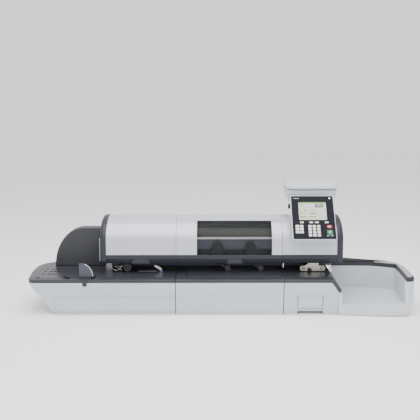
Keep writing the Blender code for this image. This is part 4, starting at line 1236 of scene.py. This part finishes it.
BOWL = (
    (0.0290, 0.0440, 0.0300, 0.0140, 0.4430),
    (0.0215, 0.0350, 0.0210, 0.0170, 0.4436),
    (0.0160, 0.0280, 0.0140, 0.0190, 0.4460),
    (0.0125, 0.0240, 0.0100, 0.0200, 0.4500),
    (0.0085, 0.0190, 0.0070, 0.0205, 0.4600),
    (0.0045, 0.0140, 0.0040, 0.0205, 0.4740),
    (0.0018, 0.0092, 0.0024, 0.0205, 0.4875),
    (0.0010, 0.0080, 0.0020, 0.0205, 0.4890),
    (0.0010, 0.0080, 0.0020, 0.0205, 0.5030),
    (0.0020, 0.0090, 0.0030, 0.0195, 0.5040),
    (0.0040, 0.0110, 0.0050, 0.0175, 0.5040),
    (0.0050, 0.0120, 0.0060, 0.0165, 0.5000),
)
bowl = loft("scale_bowl", [plate_ring(*level) for level in BOWL], scale_grey)
column = slab(
    "scale_column", (SCALE_X - 0.060, 0.030, 0.3900), (SCALE_X + 0.060, 0.120, 0.4450), scale_grey
)
place(column, "machine", edge=0.0060, steps=5)
place(bowl, "machine", "scale_housing", edge=0.0, crease=40)
PLATE = (
    (0.0060, 0.0060, 0.0060, 0.0160, 0.5065),
    (0.0022, 0.0022, 0.0022, 0.0200, 0.5076),
    (0.0000, 0.0000, 0.0000, 0.0220, 0.5102),
    (0.0000, 0.0000, 0.0000, 0.0220, pan_high.z - 0.0022),
    (0.0008, 0.0008, 0.0008, 0.0212, pan_high.z - 0.0008),
    (0.0022, 0.0022, 0.0022, 0.0198, pan_high.z),
    (0.0080, 0.0080, 0.0080, 0.0140, pan_high.z),
    (0.0092, 0.0092, 0.0092, 0.0128, pan_high.z - 0.0008),
)
weigh_plate = loft("weighing_plate", [plate_ring(*level) for level in PLATE], scale_grey)
place(weigh_plate, "weigh_plate", "weigh_pan", edge=0.0, crease=40)
stem = slab(
    "plate_stem",
    (SCALE_X - 0.012, 0.094, pan_low.z),
    (SCALE_X + 0.012, 0.110, 0.5080),
    bright_steel,
)
place(stem, "weigh_plate", edge=0.0008)
plug = slab("scale_connector", (0.2965, -0.0060, 0.4245), (0.3060, 0.0080, 0.4450), gloss_black)
place(plug, "machine", edge=0.0020, steps=3)


# ---------------------------------------------------------------- control panel
# The tilting operator panel: a pale housing with a charcoal face let into it, a colour
# screen and rubber-dome keys.  It is built flat, then tilted to the panel's slope.

PANEL_X = 0.394
PANEL_FOOT = Vector((PANEL_X, -0.160, 0.320))
PANEL_SLOPE = math.atan2(0.163, 0.130)
PANEL_HALF, PANEL_LENGTH, PANEL_THICK = 0.0925, 0.2125, 0.0250
TILT = Matrix.Translation(PANEL_FOOT) @ Matrix.Rotation(PANEL_SLOPE, 4, "X")


def tilted(made):
    """Takes a piece from the panel's own flat axes to its place on the machine."""
    made.data.transform(TILT)
    return made


def rectangle(left, low, right, high, radius, steps=4):
    corners = ((left, low, radius), (right, low, radius), (right, high, radius), (left, high, radius))
    return rounded(corners, steps)


panel_grey = moulded("panel_grey", (0.500, 0.535, 0.565), 0.38)


def panel_ring(inset, n):
    return [
        (u, v, n)
        for u, v in rectangle(
            -PANEL_HALF + inset,
            inset,
            PANEL_HALF - inset,
            PANEL_LENGTH - inset,
            max(0.0075 - inset, 0.002),
            6,
        )
    ]


PANEL_SECTION = (
    (0.0070, -PANEL_THICK),
    (0.0035, -PANEL_THICK + 0.0008),
    (0.0012, -PANEL_THICK + 0.0030),
    (0.0003, -PANEL_THICK + 0.0065),
    (0.0000, -PANEL_THICK + 0.0110),
    (0.0000, -0.0018),
    (0.0006, -0.0005),
    (0.0018, 0.0000),
    (0.0031, 0.0000),
    (0.0033, -0.0030),
)
housing = loft("panel_shell", [panel_ring(*level) for level in PANEL_SECTION], panel_grey)
place(tilted(housing), "control_panel", "panel_housing", edge=0.0, crease=40)
chin_line = ((0.001, 0.002 - PANEL_THICK), (0.001, -0.0390), (0.010, -0.0390), (0.040, 0.002 - PANEL_THICK))
chin = prism("panel_chin", chin_line, "X", 0.007 - PANEL_HALF, PANEL_HALF - 0.007, panel_grey)
place(tilted(chin), "control_panel", edge=0.0012, steps=2)
pivot_y = PANEL_FOOT.y + 0.10 * math.cos(PANEL_SLOPE) + 0.035 * math.sin(PANEL_SLOPE)
pivot_z = PANEL_FOOT.z + 0.10 * math.sin(PANEL_SLOPE) - 0.035 * math.cos(PANEL_SLOPE)
neck_line = (
    (pivot_y - 0.008, pivot_z - 0.004),
    (pivot_y + 0.008, pivot_z + 0.004),
    (-0.0200, 0.3720),
    (-0.0200, 0.3660),
    (-0.0835, 0.3160),
    (-0.0835, 0.3300),
)
neck = prism("panel_neck", neck_line, "X", PANEL_X - 0.045, PANEL_X + 0.045, scale_grey)
place(neck, "machine", edge=0.0010, steps=2)

panel_face = moulded(
    "panel_face",
    (0.012, 0.012, 0.017),
    0.60,
    grain=0.0010,
    relief=0.00006,
    Specular_IOR_Level=0.08,
)
SCREEN = (-0.060, 0.0930, 0.0575, 0.1810)
keys = [
    (f"soft_key_{i + 1}", u, 0.0810, 0.0160, 0.0068)
    for i, u in enumerate((-0.0500, -0.0107, 0.0131, 0.0543))
]
for i in range(6):
    keys.append(
        (f"function_key_{i + 1}", -0.0700 + i % 2 * 0.0178, 0.0630 - i // 2 * 0.0137, 0.0150, 0.0112),
    )
for i, digit in enumerate(("1", "2", "3", "4", "5", "6", "7", "8", "9", "clear", "0", "enter")):
    keys.append((f"key_{digit}", -0.0175 + i % 3 * 0.0182, 0.0626 - i // 3 * 0.0140, 0.0135, 0.0112))
keys.append(("stop_key", 0.0640, 0.0605, 0.0225, 0.0145))
keys.append(("start_key", 0.0645, 0.0310, 0.0255, 0.0290))
face_outline = rectangle(
    -PANEL_HALF + 0.0033, 0.0033, PANEL_HALF - 0.0033, PANEL_LENGTH - 0.0033, 0.0045, 5
)
face = prism("panel_face_plate", face_outline, "Z", -0.0020, 0.0010, panel_face)
holes = [prism("screen_hole", rectangle(*SCREEN, 0.0012), "Z", -0.02, 0.02)]
for name, u, v, width, height in keys:
    w, h = width / 2 + 0.0004, height / 2 + 0.0004
    holes.append(slab(f"{name}_hole", (u - w, v - h, -0.02), (u + w, v + h, 0.02)))
carve(face, *holes)
place(tilted(face), "control_panel", "panel_bezel", edge=0.0004)


# The screen: a bright liquid-crystal display behind glass.  It shows plain blocks of
# colour and short bars, laid out as a job page.
def screen_material():
    made, point = new_material("screen_page")
    up = (0.0, math.cos(PANEL_SLOPE), math.sin(PANEL_SLOPE))
    lift = point.node("VectorMath", {0: point, 1: up}, {"operation": "DOT_PRODUCT"}, 1)
    across = point.node("SeparateXYZ", {0: point}) - (PANEL_X + SCREEN[0])
    rise = lift - (PANEL_FOOT.y * up[1] + PANEL_FOOT.z * up[2] + SCREEN[1])
    u = across * (1 / (SCREEN[2] - SCREEN[0]))
    v = rise * (1 / (SCREEN[3] - SCREEN[1]))

    def area(left, low, right, high):
        return (u > left) * (u < right) * (v > low) * (v < high)

    def bars(left, low, right, high, count, gap):
        """A row of short bars, as words would stand."""
        place_in = (u - left) * (count / (right - left))
        fraction = point.node("Math", {0: place_in}, {"operation": "FRACT"})
        return area(left, low, right, high) * (fraction > gap)

    page = v.blend((0.80, 0.90, 0.70, 1.0), (0.97, 0.99, 0.95, 1.0))
    layers = (
        (area(0, 0.925, 1, 1), (0.10, 0.50, 0.01, 1)),
        (area(0, 0.0, 1, 0.045), (0.62, 0.80, 0.42, 1)),
        (area(0.0, 0.05, 0.022, 0.92), (0.62, 0.78, 0.50, 1)),
        (area(0.03, 0.36, 0.62, 0.66), (0.86, 0.93, 0.78, 1)),
        (area(0.60, 0.70, 0.90, 0.90), (0.10, 0.015, 0.17, 1)),
        (bars(0.64, 0.79, 0.84, 0.85, 5, 0.3), (0.80, 0.70, 0.86, 1)),
        (bars(0.05, 0.83, 0.20, 0.865, 3, 0.3), (0.16, 0.18, 0.17, 1)),
        (bars(0.05, 0.74, 0.10, 0.78, 1, 0.2), (0.18, 0.20, 0.18, 1)),
        (bars(0.14, 0.72, 0.50, 0.735, 9, 0.25), (0.30, 0.34, 0.30, 1)),
        (bars(0.06, 0.52, 0.10, 0.60, 1, 0.1), (0.20, 0.22, 0.20, 1)),
        (bars(0.20, 0.50, 0.27, 0.59, 1, 0.1), (0.10, 0.12, 0.11, 1)),
        (bars(0.36, 0.55, 0.58, 0.59, 5, 0.3), (0.16, 0.19, 0.16, 1)),
        (bars(0.06, 0.34, 0.14, 0.43, 2, 0.2), (0.06, 0.07, 0.06, 1)),
        (bars(0.38, 0.33, 0.62, 0.42, 5, 0.3), (0.10, 0.12, 0.10, 1)),
        (bars(0.03, 0.16, 0.30, 0.215, 8, 0.18), (0.01, 0.01, 0.01, 1)),
        (bars(0.35, 0.16, 0.62, 0.215, 8, 0.18), (0.01, 0.01, 0.01, 1)),
        (bars(0.68, 0.165, 0.95, 0.20, 8, 0.35), (0.50, 0.54, 0.50, 1)),
    )
    for mask, colour in layers:
        page = mask.blend(page, colour)
    grime = point.noise(40.0, 3.0)
    inputs = {
        "Base Color": (0.02, 0.02, 0.02, 1.0),
        "Roughness": grime.between(0.3, 0.7, 0.10, 0.20),
        "Emission Color": page,
        "Emission Strength": 1.25,
    }
    return shaded(made, point, inputs)


glass = prism(
    "screen_glass",
    rectangle(SCREEN[0] - 0.003, SCREEN[1] - 0.003, SCREEN[2] + 0.003, SCREEN[3] + 0.003, 0.001),
    "Z",
    -0.011,
    -0.0023,
    screen_material(),
)
place(tilted(glass), "control_panel", "display", edge=0.0003)

# Keys: moulded silicone caps with a printed figure.  Function keys carry plain bars,
# and the stop and start keys a paler worn centre.
key_white = moulded("key_white", (0.78, 0.78, 0.76), 0.50, grain=0.0007, mottle=0.02)
key_ink = moulded("key_ink", (0.10, 0.10, 0.12), 0.60)


def worn_key(name, colour, centre_u, centre_v):
    """A coloured key, rubbed paler in its middle."""
    made, point = new_material(name)
    middle = TILT @ Vector((centre_u, centre_v, 0.003))
    distance = point.node("VectorMath", {0: point, 1: tuple(middle)}, {"operation": "DISTANCE"}, 1)
    rubbed = distance.between(0.0062, 0.0022) + (point.noise(400.0) - 0.5) * 0.2
    grain = point.noise(1200.0)
    inputs = {
        "Base Color": rubbed.between(0.0, 1.0).blend(
            tint(colour, 1.0),
            (0.62, 0.50, 0.50, 1.0) if colour[0] > colour[1] else (0.42, 0.62, 0.52, 1.0),
        ),
        "Roughness": grain.between(0.3, 0.7, 0.38, 0.52),
        "Normal": point.node("Bump", {"Strength": 0.3, "Distance": 0.00004, "Height": grain}),
    }
    return shaded(made, point, inputs)


key_red = worn_key("key_red", (0.34, 0.006, 0.018), 0.0640, 0.0605)
key_green = worn_key("key_green", (0.002, 0.115, 0.036), 0.0645, 0.0355)


def key_cap(name, outline_of, material):
    """A key: a soft-shouldered cap from insets and heights."""
    section = ((0.0, -0.0060), (0.0, 0.0016), (0.0004, 0.0023), (0.0010, 0.0027), (0.0019, 0.0028))
    return loft(name, [[(u, v, n) for u, v in outline_of(inset)] for inset, n in section], material)


for name, u, v, width, height in keys:
    w, h = width / 2, height / 2
    if name == "start_key":

        def outline_of(inset):
            return rounded(
                (
                    (u, v - h + inset, 0.004),
                    (u + w - inset, v - h + 0.010, 0.004),
                    (u + w - inset, v + h - inset, 0.003),
                    (u - w + inset, v + h - inset, 0.003),
                    (u - w + inset, v - h + 0.010, 0.004),
                )
            )
    else:
        radius = 0.0030 if name == "stop_key" else 0.0018

        def outline_of(inset):
            return rectangle(u - w + inset, v - h + inset, u + w - inset, v + h - inset, radius)

    material = {"stop_key": key_red, "start_key": key_green}.get(name, key_white)
    cap = key_cap(f"{name}_cap", outline_of, material)
    place(tilted(cap), name, name, edge=0.0, crease=40)
    if name[4:].isdigit() and name.startswith("key_"):
        letter = bpy.data.curves.new(f"{name}_figure", "FONT")
        letter.body = name[4:]
        letter.size = 0.0078
        letter.align_x = "CENTER"
        letter.align_y = "CENTER"
        letter.extrude = 0.00006
        letter.materials.append(key_ink)
        figure = bpy.data.objects.new(f"{name}_figure", letter)
        bpy.context.scene.collection.objects.link(figure)
        figure.matrix_world = TILT @ Matrix.Translation((u, v, 0.00284))
        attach(figure, name)
    elif name not in ("stop_key", "start_key"):
        count = 1 if name.startswith("soft") else 2
        for i in range(count):
            y = v + (i - (count - 1) / 2) * 0.0034
            bar = slab(
                f"{name}_bar_{i}",
                (u - w * 0.5, y - 0.0006, 0.0027),
                (u + w * (0.5 - 0.3 * i), y + 0.0006, 0.0029),
                key_ink,
            )
            place(tilted(bar), name, edge=0.0)

lamp_white, lamp_point = new_material("lamp_white")
shaded(
    lamp_white,
    lamp_point,
    {
        "Base Color": lamp_point.noise(300.0).blend((0.80, 0.80, 0.80, 1), (0.95, 0.95, 0.95, 1)),
        "Roughness": lamp_point.noise(200.0).between(0.3, 0.7, 0.2, 0.4),
        "Emission Color": (1.0, 1.0, 1.0, 1.0),
        "Emission Strength": 0.35,
    },
)
lamp_ring = [
    [
        (0.0745 + r * math.cos(k * math.pi / 12), 0.1975 + r * math.sin(k * math.pi / 12), n)
        for k in range(24)
    ]
    for r, n in ((0.0036, 0.0005), (0.0036, 0.0016), (0.0028, 0.0022))
]
lamp = loft("panel_lamp", lamp_ring, lamp_white)
place(tilted(lamp), "control_panel", edge=0.0, crease=40)
badge = prism(
    "panel_badge",
    rectangle(-0.0790, 0.1955, -0.0560, 0.1985, 0.0012),
    "Z",
    0.0005,
    0.0014,
    badge_and_sheen_grey,
)
place(tilted(badge), "control_panel", edge=0.0002)


# ---------------------------------------------------------------- rear and inside
# The mains inlet and rocker switch at the back, and the motor and main board that stand
# inside the bases.

refinish("power_inlet", gloss_black, 0.0)
refinish("power_switch", tyre_rubber, 0.0)
refinish("drive_motor", bright_steel, 0.0)
board_green = moulded("board_green", (0.02, 0.16, 0.07), 0.45, grain=0.003, mottle=0.2)
refinish("main_board", board_green, 0.0)


# ---------------------------------------------------------------- studio
# A pale sweep, a large soft light overhead, a front fill and the camera.

floor = build("floor", [(-8, -8, 0), (8, -8, 0), (8, 8, 0), (-8, 8, 0)], [(0, 1, 2, 3)], None)
sweep, sweep_point = new_material("pale_floor")
shaded(
    sweep,
    sweep_point,
    {
        "Base Color": sweep_point.noise(2.0).blend((0.94, 0.94, 0.94, 1), (0.96, 0.96, 0.96, 1)),
        "Roughness": sweep_point.noise(5.0).between(0.3, 0.7, 0.75, 0.85),
    },
)
floor.data.materials.append(sweep)

world = bpy.data.worlds.new("studio")
bpy.context.scene.world = world
world.use_nodes = True
world.node_tree.nodes["Background"].inputs["Color"].default_value = (1.0, 1.0, 1.0, 1.0)
world.node_tree.nodes["Background"].inputs["Strength"].default_value = 1.30


def soft_light(name, location, target, size, power):
    lamp_data = bpy.data.lights.new(name, "AREA")
    lamp_data.size = size
    lamp_data.energy = power
    made = bpy.data.objects.new(name, lamp_data)
    made.location = location
    made.rotation_euler = (Vector(target) - Vector(location)).to_track_quat("-Z", "Y").to_euler()
    bpy.context.scene.collection.objects.link(made)


soft_light("overhead", (0.0, -0.6, 2.4), (0.0, 0.0, 0.2), 2.4, 95.0)
soft_light("front_fill", (0.6, -3.2, 1.6), (0.0, 0.0, 0.2), 1.8, 16.0)

camera_data = bpy.data.cameras.new("camera")
camera_data.lens = 58.5
camera_data.sensor_width = 36.0
camera = bpy.data.objects.new("camera", camera_data)
camera.location = (-0.0215, -2.929, 0.916)
view = Matrix.Rotation(math.radians(0.407), 4, "Z") @ Matrix.Rotation(math.radians(80.37), 4, "X")
camera.rotation_euler = (view @ Matrix.Rotation(math.radians(-0.175), 4, "Z")).to_euler()
bpy.context.scene.collection.objects.link(camera)
bpy.context.scene.camera = camera
